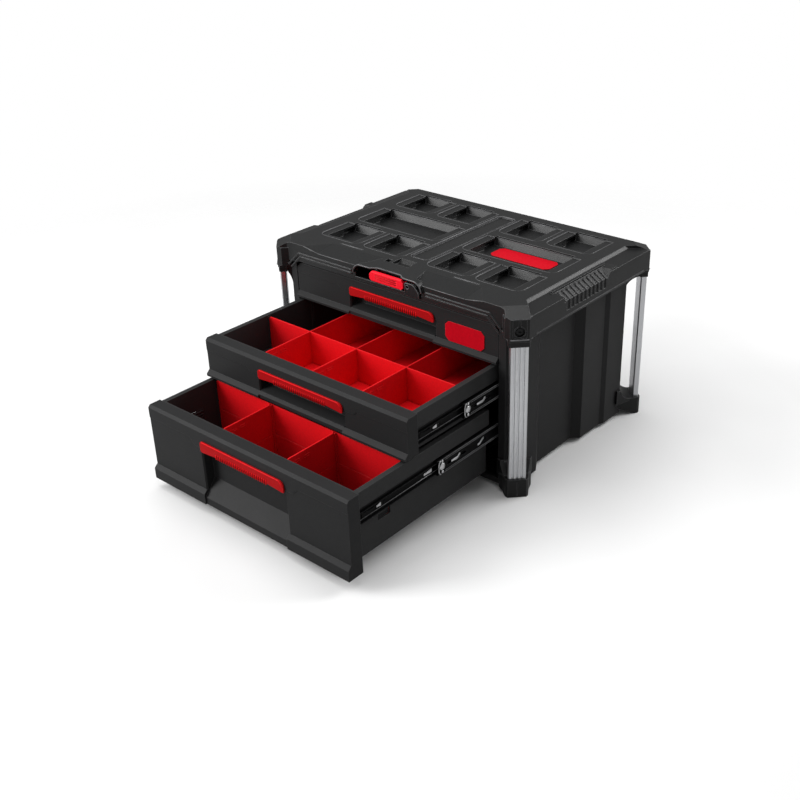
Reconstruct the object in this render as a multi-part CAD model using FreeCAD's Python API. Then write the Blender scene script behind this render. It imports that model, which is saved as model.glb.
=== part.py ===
import FreeCAD, Part
import math
import os
from FreeCAD import Vector

# A stackable tool box with three drawers that run on ball bearing slides.
# Millimetres. X is to the right, Y to the back, Z up. Shapes are drawn about the middle of the
# case, with each drawer shut, and are put in their places at rest when they are written.

# Whole box
BOX_WIDTH = 564.0            # over the corners of the cover
BOX_DEPTH = 406.0
CORNER_CUT = 22.0            # leg of the 45 degree cut on each corner
WALL = 3.5                   # moulded walls of the case and the cover
FIT = 0.3                    # air between pieces of different bodies
LID_RISE = 32.0              # from the top of the drawer opening to the deck

# Cover. Drops are measured down from the deck and insets from the side faces.
SKIRT_DROP = 46.0
FLANGE_DROP = 35.0           # underside of the flange that lies on the case
FLANGE_THICK = 3.0
CORNER_DROP = 12.0           # top of the corner blocks
CORNER_SLOPE_RUN = 26.0
DECK_INSET = 32.0
SHOULDER_DROP = 4.5
SHOULDER_EDGE_DROP = 9.0     # top of the upright side band
SHOULDER_END = 56.0          # end of the shoulder, before the front and the back face
DECK_BACK_MARGIN = 26.0
FASCIA_SET_BACK = 10.0       # fascia behind the corner blocks
FASCIA_INSET = 40.0
FASCIA_SLOPE_DROP = 6.0
FASCIA_SLOPE_RUN = 43.0
FASCIA_SLOPE_INSET = 117.0
FACET_RUN = 35.0
RIB = 2.5
DECK_RIB_PLACE = 20.0
DECK_RIB_START = 60.0        # behind the fascia
SIDE_GROOVE_DROP = 43.5      # groove along the foot of the side band
SIDE_GROOVE_WIDTH = 2.0
SIDE_GROOVE_DEPTH = 1.2
SIDE_GROOVE_END = 40.0

# Raised lines over the drawer opening: drop, then start and end of the slope from the fascia's end
RIM_LINES = ((23.0, 33.0, 9.0), (17.0, 29.0, 2.5))
RIM_SLOPE = 0.95
BEAD_WIDTH = 2.8
BEAD_HEIGHT = 1.8
RIM_START = 6.0              # gap between the latch's arch and the lines
RIM_SLOT_WIDTH = 2.6
RIM_SLOT_DEPTH = 2.4

# Stacking recesses of the deck
INNER_COLUMN_SHARE = 0.292   # place of the inner recesses, of the deck's half width
OUTER_COLUMN_INSET = 73.0    # outer recesses inside the deck's edge
RECESS_REAR_MARGIN = 46.0
RECESS_ROW_PITCH = 203.0
WIDE_ROW_STEP = 103.0
RECESS_HALF_WIDTH = 31.0
RECESS_DEPTH = 15.0
RECESS_FLOOR_LENGTH = 50.0
RECESS_RAMP = 32.0
RECESS_LEAN = 7.0            # lean of the back wall over its height
RECESS_LEDGE = 1.5
RECESS_LEDGE_DROP = 3.0
RECESS_BORDER = 17.0
RECESS_BORDER_DEPTH = 1.5
LIP_REACH = 8.0
LIP_THICK = 5.0
LIP_LENGTH = 38.0
WIDE_FLOOR_LENGTH = 62.0
WIDE_RAMP = 24.0
CENTRE_HALF_WIDTH = 21.0
CENTRE_FRONT_MARGIN = 77.0   # behind the fascia
CENTRE_BACK_MARGIN = 57.0
CENTRE_DEPTH = 2.5
CENTRE_CORNER = 7.0
CENTRE_LINE_INSET = 3.5
CENTRE_LINE_WIDTH = 1.4
CENTRE_LINE_HEIGHT = 1.6
SLOT_OUTER_INSET = 96.0
SLOT_LENGTH = 52.0
SLOT_WIDTH = 3.2
SLOT_DEPTH = 2.0
SLOT_BEHIND_FASCIA = 48.0

# Side grips on the cover
GRIP_FRONT_MARGIN = 116.0
GRIP_BACK_MARGIN = 146.0
GRIP_DROP = 9.0
GRIP_REACH = 20.0
GRIP_RIBS = 11
GRIP_RIB_START = 5.0
GRIP_RIB_PITCH = 12.0
GRIP_RIB_WIDTH = 3.4
GRIP_RIB_HEIGHT = 1.4
GRIP_RIB_TAIL = 16.0
GRIP_RAMP = 16.0             # run of the slope that closes the rear end
GRIP_BLOCK_LENGTH = 13.0
GRIP_BLOCK_RISE = 3.3
GRIP_LIP_WIDTH = 6.0
GRIP_LIP_DROP = 2.5

# Posts, their sockets and the corner screws
POST_WIDTH = 30.0
POST_THICK = 11.0
POST_SET_BACK = 2.5
POST_EDGE = 1.8
FLUTES = 3
FLUTE_WIDTH = 3.6
FLUTE_DEPTH = 1.1
FLUTE_PITCH = 7.5
SOCKET_DEPTH = 12.0
SOCKET_FIT = 0.2
COLLAR_DROP = 60.0
COLLAR_MARGIN = 2.5
COLLAR_SET_BACK = 1.0
CORNER_RIM = 5.0             # height of the proud rim under the corner block
FOOT_TOP = 34.0
FOOT_HALF_WIDTH = 19.0
FOOT_SHOULDER = 4.0
FOOT_SPREAD = 3.0
FOOT_ROOT_SPREAD = 8.0
FOOT_GROOVE = 1.2
FOOT_FLAT = 8.0              # flat band the foot stands on, outside its sloping underside
FOOT_WEB_SPREAD = 0.62       # widening of the foot's web for each millimetre towards the case
WEB_HALF = 14.0
WEB_ROOT = 8.0
WINDOW_BOTTOM = 58.0
WINDOW_DROP = 88.0
SCREW_RADIUS = 2.5
SCREW_HEAD_RADIUS = 5.5
SCREW_HEAD_LENGTH = 4.0
SCREW_RECESS_RADIUS = 8.0
SCREW_RECESS_DEPTH = 7.0
SCREW_RING = 1.8             # width of the raised ring round the screw's recess
SCREW_HEX = 5.0
SCREW_HEX_DEPTH = 2.5
SCREW_LENGTH = 12.0
SCREW_DROP = 34.0
SCREW_BORE_FIT = 0.1
PANEL_HALF = 11.0            # recessed panel on the face of a corner block
PANEL_DEPTH = 1.2
PANEL_EDGE = 2.0
PANEL_GROOVE = 1.5

# Case
CASE_BOTTOM = 8.0
FLOOR_THICK = 4.0
CASE_FRONT_INSET = 16.0
CASE_BACK_INSET = 16.0
CASE_SIDE_INSET = 27.0
CASE_WAIST_INSET = 41.0      # set back side panel
CASE_HIP_INSET = 22.0        # back part
WAIST_START = 71.0           # behind the case's front
WAIST_END = 209.0
WAIST_RUN = 23.0
WAIST_RETURN_RUN = 13.0
HIP_LENGTH = 104.0           # before the case's back
HIP_RUN = 9.0
FRONT_CORNER = 14.0
BACK_CORNER = 43.0
SILL_RISE = 9.0
SILL_DEPTH = 8.0
OPENING_INSET = 54.5
OPENING_CUT = 40.0           # depth of the opening's cut through the front of the cover
FLOOR_RIBS = (-150.0, -50.0, 50.0, 150.0)
CLEAT_WIDTH = 58.0
CLEAT_LENGTH = 30.0
CLEAT_HEIGHT = 5.5
CLEAT_NOSE = 4.0
PANEL_RIBS = (-171.5, -70.0, 0.0, 60.0, 120.0)

# Drawers
FRONT_FIT = 1.5              # air between a drawer front and the side of the opening
FRONT_THICK = 24.0
FRONT_RIBS = (-190.0, -140.0, 140.0, 190.0)
PANEL_WALL = 3.0
DRAWER_GAP = 3.5
SILL_GAP = 2.0
BOTTOM_FRONT_HEIGHT = 137.0
SMALL_FRONT_HEIGHT = 69.0
TALL_FROM = 100.0            # drawers at least this high have the tall front's lip and pocket
TOP_CORNER_CUT = 13.0        # cut top corners of the top drawer and of the opening
TOP_EDGE_BEVEL = 4.0
LIP_PROUD = 6.0
LIP_SLOPE = 6.0
SMALL_LIP_RISE = 4.0
TALL_LIP_RISE = 19.0
POCKET_HALF = 96.0
POCKET_DEPTH = 19.0
POCKET_EDGE = 3.0            # chamfer on the upright edges of the pocket
SMALL_POCKET = (8.8, 16.7, 31.0)  # floor at the front, floor at the back, roof below the top
TALL_POCKET = (9.0, 41.0, 36.0)
LIP_NOTCH_DEPTH = 2.5        # the lip is set back in front of the pocket
STEP_DEPTH = 0.7             # the face is set back a little under the step line
STEP_BELOW_TOP = 22.5
STEP_OVER_ROOF = 2.0
STEP_BREAK = 28.0
TRAY_SIDE_GAP = 4.0
TRAY_WALL = 3.0
TRAY_BACK_GAP = 42.0
SMALL_TRAY_RISE = 2.0        # underside of the tray above the front's lower edge
TALL_TRAY_RISE = 18.0
TRAY_BELOW_TOP = 1.0
TOP_TRAY_BELOW_TOP = 8.0     # lower, to pass the cut corners of the opening
CHANNEL_DEPTH = 6.0
RUNNER_BELOW_TOP = 46.5      # slide centre below the top of the drawer front
CHANNEL_FIT = 1.0
DIVIDER_BEHIND_FACE = 132.0
SPARE_GUIDE_BEHIND_FACE = 237.0
DIVIDER_THICK = 2.0
DIVIDER_FIT = 0.3
DIVIDER_BELOW_TOP = 2.5
DIVIDER_CORNER = 6.0
DIVIDER_LINE = 0.4           # depth of the line on the bottom drawer's dividers
GUIDE_RIB = 2.0
GUIDE_REACH = 1.6
END_GUIDE_REACH = 2.5
CLIP_REACH = 3.0
WINDOW_LENGTH = 28.0
WINDOW_HEIGHT = 31.0
WINDOW_OVER_RUNNER = 2.5
WINDOW_BEHIND_FACE = 70.0

# Pull strips
STRIP_THICK = 3.5
STRIP_DROP = 3.0
SMALL_STRIP_RISE = 14.0
TALL_STRIP_RISE = 17.0
STRIP_EDGE = 1.5
STRIP_CORNER = 7.0
STRIP_NOTCHES = 16
STRIP_NOTCH_PITCH = 7.2
STRIP_NOTCH_WIDTH = 4.0
STRIP_NOTCH_DEPTH = 1.6
STRIP_NOTCH_INTO = 3.0
STRIP_LIP = 9.0

# Slides
SLIDE_GAP = 0.5              # face of the slide panels behind the side of the opening
SLIDE_SHORTER = 69.0         # slides shorter than the case
SLIDE_BEHIND_FRONT = 1.0
OUTER_HEIGHT = 34.0
OUTER_SHEET = 1.5
OUTER_LIP = 9.0
OUTER_HOLES = (35.0, 163.0, 270.0)
MIDDLE_HEIGHT = 26.6
MIDDLE_SHEET = 1.2
MIDDLE_WEB_GAP = 1.6
MIDDLE_LIP = 7.6
MIDDLE_SLOTS = ((22.0, 9.0), (48.0, 20.0), (105.0, 16.0))  # start and length
MIDDLE_SLOT_HALF = 2.5
MIDDLE_GROOVE = 0.4
MIDDLE_GROOVE_INSET = 4.0
INNER_HEIGHT = 19.8
INNER_SHEET = 1.2
INNER_LIP = 6.5
INNER_SLOTS = ((50.0, 10.0), (150.0, 12.0), (260.0, 12.0))
INNER_SLOT_HALF = 2.0
RAIL_HOLE_RADIUS = 2.2
RIVET_RADIUS = 2.0
RIVET_HEIGHT = 0.8
RIVET_PLACE = 6.0
RIVET_PITCH = 7.5
BALL_RADIUS = 1.05
BALLS_PER_STRIP = 3
BALL_PITCH = 28.0
CAGE_THICK = 0.9
CAGE_WIDTH = 4.0
CAGE_END = 5.0               # strip beyond the last ball
CAGE_BEHIND_MIDDLE = 18.5    # cage behind the middle of the rails when shut
LEVER_START = 10.0           # release lever behind the front of the inner rail
LEVER_LENGTH = 28.0
LEVER_THICK = 1.5
LEVER_HALF = 3.5

# Latch. Its bar lies in a hole of the fascia, under the hood.
LATCH_HALF = 37.5
LATCH_TOP_DROP = 5.5
LATCH_HEIGHT = 18.0
LATCH_REACH = 4.5            # front of the bar before the fascia
LATCH_THICK = 5.0
LATCH_BEVEL = 1.5
LATCH_CORNER = 5.0
LATCH_ARM = 6.0
LATCH_GROOVES = (5.0, 8.5, 12.0)  # above the bar's lower edge
LATCH_GROOVE_END = 14.0
LINK_HALF = 3.5
PIN_RADIUS = 2.0
PIN_FIT = 0.05
PIN_BEHIND_FASCIA = 6.0
PIN_DROP = 15.0
PIN_END = 4.0
BOSS_RADIUS = 4.5
LUG_THICK = 5.0
LUG_RADIUS = 4.5
HANGER_FRONT = 2.5
SCOOP_BOTTOM_DROP = 26.0
SCOOP_CORNER = 15.5
SCOOP_DEPTH = 11.5
HOOD_HALF = 59.0
HOOD_TAPER = 12.0
HOOD_THICK = 3.0
HOOD_REACH = 4.0             # ends of the hood before the fascia
HOOD_SET_BACK = 4.5          # middle of the hood behind the fascia
HOOD_NOTCH = 38.0
HOOD_NOTCH_RUN = 12.0
ARCH_DEPTH = 6.0             # arches of the hood into the fascia
TAIL_DROP = 6.0              # underside of the tails' ends, below the pin
TAIL_THICK = 4.0
TONGUE_BEHIND_PIN = 30.5
TONGUE_THICK = 5.0
TONGUE_PLATE = 2.0
TOOTH_PLACES = (-33.0, 10.0)
TOOTH_DROP = 5.0
TOOTH_HALF = 4.0
TOOTH_ROOM = 1.0
STRIKE = (-22.0, 12.0)       # the wedge that another box's hook drops into, from left to right
STRIKE_FRONT = 35.0          # behind the fascia
STRIKE_LENGTH = 19.5
STRIKE_RAMP = 7.5
STRIKE_DEPTH = 6.0
SPRING_WIRE = 1.2
SPRING_RADIUS = 3.2
SPRING_TURNS = 3
SPRING_SIDES = 10            # straight runs in each turn
SPRING_PITCH = 2.0
EYE_PLATE_THICK = 3.0
EYE_PLATE_INNER = 39.5
EYE_PLATE_FOOT = 4.0
EYE_PLATE_CORNER = 12.0
EYE_PLATE_FILLET = 4.0
EYE_RADIUS = 2.5
EYE_PLACE = 46.0

# Plates
PLATE_THICK = 1.2
PLATE_CORNER = 7.0
FRONT_PLATE_HEIGHT = 35.0
FRONT_PLATE_FROM_POCKET = 22.5
FRONT_PLATE_FROM_END = 27.5
FRONT_PLATE_RISE = 29.0
DECK_PLATE_WIDTH = 124.0
DECK_PLATE_DEPTH = 40.0
DECK_PLATE_PLACE = 33.0      # centre before the back of the wide recess

# How far each drawer stands open at rest
MIDDLE_OPEN = 220.0
BOTTOM_OPEN = 350.0

# Values that follow from the sizes above: widths
HALF_WIDTH = BOX_WIDTH / 2
DECK_HALF_WIDTH = HALF_WIDTH - DECK_INSET
FASCIA_HALF_WIDTH = HALF_WIDTH - FASCIA_INSET
FASCIA_SLOPE_HALF = HALF_WIDTH - FASCIA_SLOPE_INSET
CASE_SIDE = HALF_WIDTH - CASE_SIDE_INSET
CASE_WAIST = HALF_WIDTH - CASE_WAIST_INSET
CASE_HIP = HALF_WIDTH - CASE_HIP_INSET
OPENING_HALF = HALF_WIDTH - OPENING_INSET
SLIDE_FACE = OPENING_HALF + SLIDE_GAP
FRONT_HALF = OPENING_HALF - FRONT_FIT
TRAY_HALF = FRONT_HALF - TRAY_SIDE_GAP
TRAY_SIDE = TRAY_HALF - CHANNEL_DEPTH
TRAY_INSIDE = TRAY_SIDE - TRAY_WALL
SCOOP_HALF = HOOD_HALF + SCOOP_CORNER
RECESS_COLUMNS = (INNER_COLUMN_SHARE * DECK_HALF_WIDTH, DECK_HALF_WIDTH - OUTER_COLUMN_INSET)

# Depths
HALF_DEPTH = BOX_DEPTH / 2
FASCIA = -HALF_DEPTH + FASCIA_SET_BACK
CASE_FRONT = -HALF_DEPTH + CASE_FRONT_INSET
CASE_BACK = HALF_DEPTH - CASE_BACK_INSET
WAIST_FRONT = CASE_FRONT + WAIST_START
WAIST_BACK = CASE_FRONT + WAIST_END
HIP_START = CASE_BACK - HIP_LENGTH
SHOULDER_HALF_LENGTH = HALF_DEPTH - SHOULDER_END
TRAY_END = CASE_BACK - TRAY_BACK_GAP
REAR_ROW = HALF_DEPTH - RECESS_REAR_MARGIN
RECESS_BACKS = (REAR_ROW - RECESS_ROW_PITCH, REAR_ROW)
WIDE_RECESS_BACK = REAR_ROW - WIDE_ROW_STEP
GRIP_FRONT = -HALF_DEPTH + GRIP_FRONT_MARGIN
GRIP_BACK = HALF_DEPTH - GRIP_BACK_MARGIN
SHIFT_Y = (BOTTOM_OPEN - CASE_FRONT + LIP_PROUD - HALF_DEPTH) / 2
SLIDE_START = CASE_FRONT + FRONT_THICK + SLIDE_BEHIND_FRONT
SLIDE_LENGTH = CASE_BACK - CASE_FRONT - SLIDE_SHORTER
PIN_Y = FASCIA + PIN_BEHIND_FASCIA

# Heights
SILL_TOP = CASE_BOTTOM + SILL_RISE
BOTTOM_FRONT_BASE = SILL_TOP + SILL_GAP
MIDDLE_FRONT_BASE = BOTTOM_FRONT_BASE + BOTTOM_FRONT_HEIGHT + DRAWER_GAP
TOP_FRONT_BASE = MIDDLE_FRONT_BASE + SMALL_FRONT_HEIGHT + DRAWER_GAP
OPENING_TOP = TOP_FRONT_BASE + SMALL_FRONT_HEIGHT + SILL_GAP
DECK_TOP = OPENING_TOP + LID_RISE
SKIRT_BOTTOM = DECK_TOP - SKIRT_DROP
FLANGE_BOTTOM = DECK_TOP - FLANGE_DROP
CORNER_TOP = DECK_TOP - CORNER_DROP
SHOULDER_EDGE_TOP = DECK_TOP - SHOULDER_EDGE_DROP
COLLAR_BOTTOM = DECK_TOP - COLLAR_DROP
WINDOW_TOP = DECK_TOP - WINDOW_DROP
SCREW_HEIGHT = DECK_TOP - SCREW_DROP
RECESS_FLOOR = DECK_TOP - RECESS_DEPTH
PIN_HEIGHT = DECK_TOP - PIN_DROP
LATCH_TOP = DECK_TOP - LATCH_TOP_DROP
LATCH_BOTTOM = LATCH_TOP - LATCH_HEIGHT
SCOOP_BOTTOM = DECK_TOP - SCOOP_BOTTOM_DROP
SCOOP_TOP = DECK_TOP - HOOD_THICK
EYE_HEIGHT = PIN_HEIGHT
CORNERS = {"front_right": (1, -1), "front_left": (-1, -1), "rear_right": (1, 1), "rear_left": (-1, 1)}


def box(x0, x1, y0, y1, z0, z1):
    return Part.makeBox(x1 - x0, y1 - y0, z1 - z0, Vector(x0, y0, z0))


def flat_face(points):
    return Part.Face(Part.makePolygon(points + [points[0]]))


def plan_prism(points, z0, z1):
    face = flat_face([Vector(x, y, z0) for x, y in points])
    return face.extrude(Vector(0, 0, z1 - z0))


def side_prism(points, x0, x1):
    """A profile in Y and Z, drawn out along X."""
    face = flat_face([Vector(x0, y, z) for y, z in points])
    return face.extrude(Vector(x1 - x0, 0, 0))


def front_prism(points, y0, y1):
    """A profile in X and Z, drawn out along Y."""
    face = flat_face([Vector(x, y0, z) for x, z in points])
    return face.extrude(Vector(0, y1 - y0, 0))


def plan_ring(points, inset_points, z0, z1):
    """An upright band between two outlines."""
    return plan_prism(points, z0, z1).cut(plan_prism(inset_points, z0 - 1, z1 + 1))


def above_facet(points, height=60.0):
    return flat_face([Vector(*p) for p in points]).extrude(Vector(0, 0, height))


def ring(sides, radius, a, b):
    """Corners of a regular figure round the point a, b."""
    turns = [2 * math.pi * (k + 0.5) / sides for k in range(sides)]
    return [(a + radius * math.cos(t), b + radius * math.sin(t)) for t in turns]


def rod(start, direction, radius, length):
    return Part.makeCylinder(radius, length, Vector(*start), Vector(*direction))


def fuse_all(shapes):
    first = shapes[0]
    joined = first.fuse(shapes[1:]) if len(shapes) > 1 else first
    return joined.removeSplitter()


def cut_all(shape, tools):
    return shape.cut(tools).removeSplitter() if tools else shape


def mirrored(shape):
    return shape.mirror(Vector(0, 0, 0), Vector(1, 0, 0))


def both_sides(shape):
    return [shape, mirrored(shape)]


def cut_corner_outline(half_x, half_y, cut):
    corner = [(half_x, -half_y + cut), (half_x, half_y - cut), (half_x - cut, half_y)]
    left = [(-x, y) for x, y in reversed(corner)]
    return [(half_x - cut, -half_y)] + corner + left + [(-half_x + cut, -half_y)]


def place_at_corner(shape, signs):
    """Turn a shape drawn with its outer face at X = 0 onto one cut corner of the box."""
    sx, sy = signs
    angle = math.degrees(math.atan2(sy, sx))
    centre = Vector(sx * (HALF_WIDTH - CORNER_CUT / 2), sy * (HALF_DEPTH - CORNER_CUT / 2), 0)
    placed = shape.copy()
    placed.Placement = FreeCAD.Placement(centre, FreeCAD.Rotation(Vector(0, 0, 1), angle))
    return placed


def at_all_corners(shape):
    return [place_at_corner(shape, signs) for signs in CORNERS.values()]


def case_outline(inset):
    """Plan of the case, drawn inwards by a wall. The sides step in at the waist."""
    side, waist, hip = CASE_SIDE - inset, CASE_WAIST - inset, CASE_HIP - inset
    right = [
        (CASE_SIDE - FRONT_CORNER - inset / 2, CASE_FRONT + inset),
        (side, CASE_FRONT + FRONT_CORNER + inset / 2),
        (side, WAIST_FRONT),
        (waist, WAIST_FRONT + WAIST_RUN),
        (waist, WAIST_BACK - WAIST_RETURN_RUN),
        (side, WAIST_BACK),
        (side, HIP_START),
        (hip, HIP_START + HIP_RUN),
        (hip, CASE_BACK - BACK_CORNER - inset / 2),
        (CASE_HIP - BACK_CORNER - inset / 2, CASE_BACK - inset),
    ]
    return right + [(-x, y) for x, y in reversed(right)]


def small_recess_places():
    for column in RECESS_COLUMNS:
        for sign in (-1, 1):
            for back in RECESS_BACKS:
                yield sign * column, back, RECESS_HALF_WIDTH, RECESS_FLOOR_LENGTH, RECESS_RAMP


def wide_recess_places():
    middle = sum(RECESS_COLUMNS) / 2
    half = (RECESS_COLUMNS[1] - RECESS_COLUMNS[0]) / 2 + RECESS_HALF_WIDTH
    for sign in (-1, 1):
        yield sign * middle, WIDE_RECESS_BACK, half, WIDE_FLOOR_LENGTH, WIDE_RAMP


def recess_hollow(centre, back, half, floor_length, ramp, grow=0.0):
    """One stacking recess: a ramp, a floor, a leaning back wall, and room under the lips at its sides."""
    top = DECK_TOP + 1.0
    floor = RECESS_FLOOR - grow
    front = back - floor_length
    ledge = DECK_TOP - RECESS_LEDGE_DROP
    foot = back - RECESS_LEAN + grow
    profile = [(front - grow, floor), (foot, floor), (back - RECESS_LEDGE + grow, ledge),
               (back + grow, ledge), (back + grow, top), (front - ramp - grow, top)]
    well = side_prism(profile, centre - half - grow, centre + half + grow)
    reach = half + LIP_REACH + grow
    under_top = DECK_TOP - LIP_THICK + grow
    undercut = box(centre - reach, centre + reach, back - LIP_LENGTH - grow, foot, floor, under_top)
    return well.fuse(undercut)


def recess_border(centre, back, half, floor_length, ramp):
    """The shallow border round the front and the sides of a recess, with rounded front corners."""
    front = back - floor_length - ramp
    x0, x1 = centre - half - RECESS_BORDER, centre + half + RECESS_BORDER
    border = box(x0, x1, front - 3.0, back - RECESS_LEAN, DECK_TOP - RECESS_BORDER_DEPTH, DECK_TOP + 1.0)
    edges = [e for e in border.Edges if is_upright(e) and e.Vertexes[0].Point.y < front]
    return border.makeFillet(RECESS_BORDER, edges)


def centre_tray():
    """The long shallow tray along the middle of the deck, with a raised line inside its edge."""
    y0, y1 = FASCIA + CENTRE_FRONT_MARGIN, HALF_DEPTH - CENTRE_BACK_MARGIN

    def outline(inset):
        low, high, half = y0 + inset, y1 - inset, CENTRE_HALF_WIDTH - inset
        cut = CENTRE_CORNER - inset / 2
        right = [(half, low + cut), (half, high - cut), (half - cut, high)]
        return [(half - cut, low)] + right + [(-x, y) for x, y in reversed(right)] + [(-half + cut, low)]

    floor = DECK_TOP - CENTRE_DEPTH
    hollow = plan_prism(outline(0.0), floor, DECK_TOP + 1.0)
    line = plan_ring(outline(CENTRE_LINE_INSET), outline(CENTRE_LINE_INSET + CENTRE_LINE_WIDTH),
                     floor - 1.0, floor + CENTRE_LINE_HEIGHT)
    return hollow.cut(line)


def is_upright(edge):
    a, b = edge.Vertexes[0].Point, edge.Vertexes[-1].Point
    return abs(a.x - b.x) < 1e-6 and abs(a.y - b.y) < 1e-6


def cover_block():
    """The outer form of the cover, before it is hollowed."""
    block = plan_prism(cut_corner_outline(HALF_WIDTH, HALF_DEPTH, CORNER_CUT), SKIRT_BOTTOM, DECK_TOP)
    far = DECK_TOP + 10.0
    near, wide = -HALF_DEPTH - 1, FASCIA_HALF_WIDTH + FASCIA_SET_BACK
    front_notch = [(-FASCIA_HALF_WIDTH, FASCIA), (FASCIA_HALF_WIDTH, FASCIA), (wide, near), (-wide, near)]
    tools = [plan_prism(front_notch, SKIRT_BOTTOM - 1, far)]
    tools += both_sides(shoulder_tool())
    tools += at_all_corners(corner_slope_tool())
    tools += fascia_slope_tools()
    back_edge = HALF_DEPTH - DECK_BACK_MARGIN
    tools.append(side_prism([(back_edge, DECK_TOP), (HALF_DEPTH + 1, CORNER_TOP), (HALF_DEPTH + 1, far),
                             (back_edge, far)], -HALF_WIDTH, HALF_WIDTH))
    return cut_all(block, tools)


def shoulder_tool():
    """Room over the lower shoulder along one side of the deck."""
    edge = HALF_WIDTH + 1
    reach = HALF_DEPTH - CORNER_CUT
    region = plan_prism([(DECK_HALF_WIDTH, -SHOULDER_HALF_LENGTH), (edge, -reach), (edge, reach),
                         (DECK_HALF_WIDTH, SHOULDER_HALF_LENGTH)], SKIRT_BOTTOM, DECK_TOP + 5)
    start, above = DECK_HALF_WIDTH, DECK_TOP + 5
    over = front_prism([(start, DECK_TOP), (start + SHOULDER_DROP, DECK_TOP - SHOULDER_DROP),
                        (edge, SHOULDER_EDGE_TOP), (edge, above), (start, above)], -HALF_DEPTH, HALF_DEPTH)
    return region.common(over)


def corner_slope_tool():
    """Room over the sloping top of a corner block, in the corner's own axes."""
    reach = 60.0
    return above_facet([(-CORNER_SLOPE_RUN, -reach, DECK_TOP), (1.0, -reach, CORNER_TOP),
                        (1.0, reach, CORNER_TOP), (-CORNER_SLOPE_RUN, reach, DECK_TOP)])


def fascia_slope_tools():
    """Room over the middle of the front, which slopes down to the fascia, and its end facets."""
    inner, outer = FASCIA + FASCIA_SLOPE_RUN, FASCIA - 1.0
    low = DECK_TOP - FASCIA_SLOPE_DROP * (1 + 1.0 / FASCIA_SLOPE_RUN)
    half = FASCIA_SLOPE_HALF
    middle = above_facet([(-half, inner, DECK_TOP), (half, inner, DECK_TOP), (half, outer, low),
                          (-half, outer, low)])
    end = above_facet([(half, inner, DECK_TOP), (half + FACET_RUN, outer, DECK_TOP), (half, outer, low)])
    return [middle] + both_sides(end)


def hood():
    """The level hood over the latch. Its edge is notched back over the middle of the bar."""
    inner, ends, edge = FASCIA + FASCIA_SLOPE_RUN, FASCIA - HOOD_REACH, FASCIA + HOOD_SET_BACK
    foot = HOOD_HALF - HOOD_TAPER
    notch_end = HOOD_NOTCH - HOOD_NOTCH_RUN
    right = [(notch_end, edge), (HOOD_NOTCH, ends), (HOOD_HALF, ends), (HOOD_HALF, FASCIA + ARCH_DEPTH),
             (foot, inner)]
    plan = right + [(-x, y) for x, y in reversed(right)]
    slab = plan_prism(plan, DECK_TOP - HOOD_THICK, DECK_TOP)
    low = DECK_TOP - WALL
    filling = side_prism([(inner, DECK_TOP), (edge, DECK_TOP), (edge, low - FASCIA_SLOPE_DROP), (inner, low)],
                         -HOOD_HALF, HOOD_HALF)
    return slab.fuse(filling.common(plan_prism(plan, low - FASCIA_SLOPE_DROP, DECK_TOP)))


def hood_arch():
    """The arch that carries the right end of the hood down to the fascia."""
    low = SCOOP_TOP - SCOOP_CORNER
    y0, length = FASCIA - HOOD_REACH, HOOD_REACH + ARCH_DEPTH
    outer = rod((HOOD_HALF, y0, low), (0, 1, 0), SCOOP_CORNER + HOOD_THICK, length)
    inner = rod((HOOD_HALF, y0 - 1, low), (0, 1, 0), SCOOP_CORNER, length + 2)
    quarter = box(HOOD_HALF, HOOD_HALF + 2 * SCOOP_CORNER, y0, y0 + length, low, DECK_TOP + 1)
    return outer.cut(inner).common(quarter)


def cover_hollow():
    """Everything that the moulded cover is hollow of, seen from below."""
    skirt_inside = cut_corner_outline(HALF_WIDTH - WALL, HALF_DEPTH - WALL, CORNER_CUT - WALL / 2)
    below_flange = plan_prism(skirt_inside, SKIRT_BOTTOM - 1, FLANGE_BOTTOM)
    inside_case = plan_prism(case_outline(WALL), FLANGE_BOTTOM - 1, FLANGE_BOTTOM + FLANGE_THICK + 1)
    ceiling = CORNER_TOP - WALL
    above_flange = plan_prism(skirt_inside, FLANGE_BOTTOM + FLANGE_THICK, ceiling)
    fascia_side = box(-HALF_WIDTH, HALF_WIDTH, -HALF_DEPTH, FASCIA + WALL, SKIRT_BOTTOM - 2, DECK_TOP)
    under_deck = box(-DECK_HALF_WIDTH + WALL, DECK_HALF_WIDTH - WALL, FASCIA + WALL,
                     HALF_DEPTH - DECK_BACK_MARGIN - WALL, ceiling - 1, DECK_TOP - WALL)
    under_slope = side_prism([(FASCIA - 1, DECK_TOP - FASCIA_SLOPE_DROP - WALL),
                              (FASCIA + FASCIA_SLOPE_RUN, DECK_TOP - WALL), (FASCIA - 1, DECK_TOP)],
                             -FASCIA_SLOPE_HALF - FACET_RUN, FASCIA_SLOPE_HALF + FACET_RUN)
    roomy = above_flange.cut(fascia_side).fuse(under_deck.cut(under_slope))
    kept = [recess_hollow(*place, grow=WALL) for place in small_recess_places()]
    kept += [recess_hollow(*place, grow=WALL) for place in wide_recess_places()]
    kept += cover_ribs()
    roomy = roomy.cut(kept)
    return below_flange, inside_case, roomy


def cover_ribs():
    """Stiffening ribs under the deck, two along and three across."""
    bottom, top = FLANGE_BOTTOM + FLANGE_THICK, DECK_TOP
    x0, y0 = DECK_RIB_PLACE - RIB / 2, FASCIA + DECK_RIB_START
    ribs = both_sides(box(x0, x0 + RIB, y0, HALF_DEPTH - WALL, bottom, top))
    across = (RECESS_BACKS[0] + WALL + 2, WIDE_RECESS_BACK + WALL + 2)
    ribs += [box(-HALF_WIDTH + WALL, HALF_WIDTH - WALL, y, y + RIB, bottom, top) for y in across]
    return ribs


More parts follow.
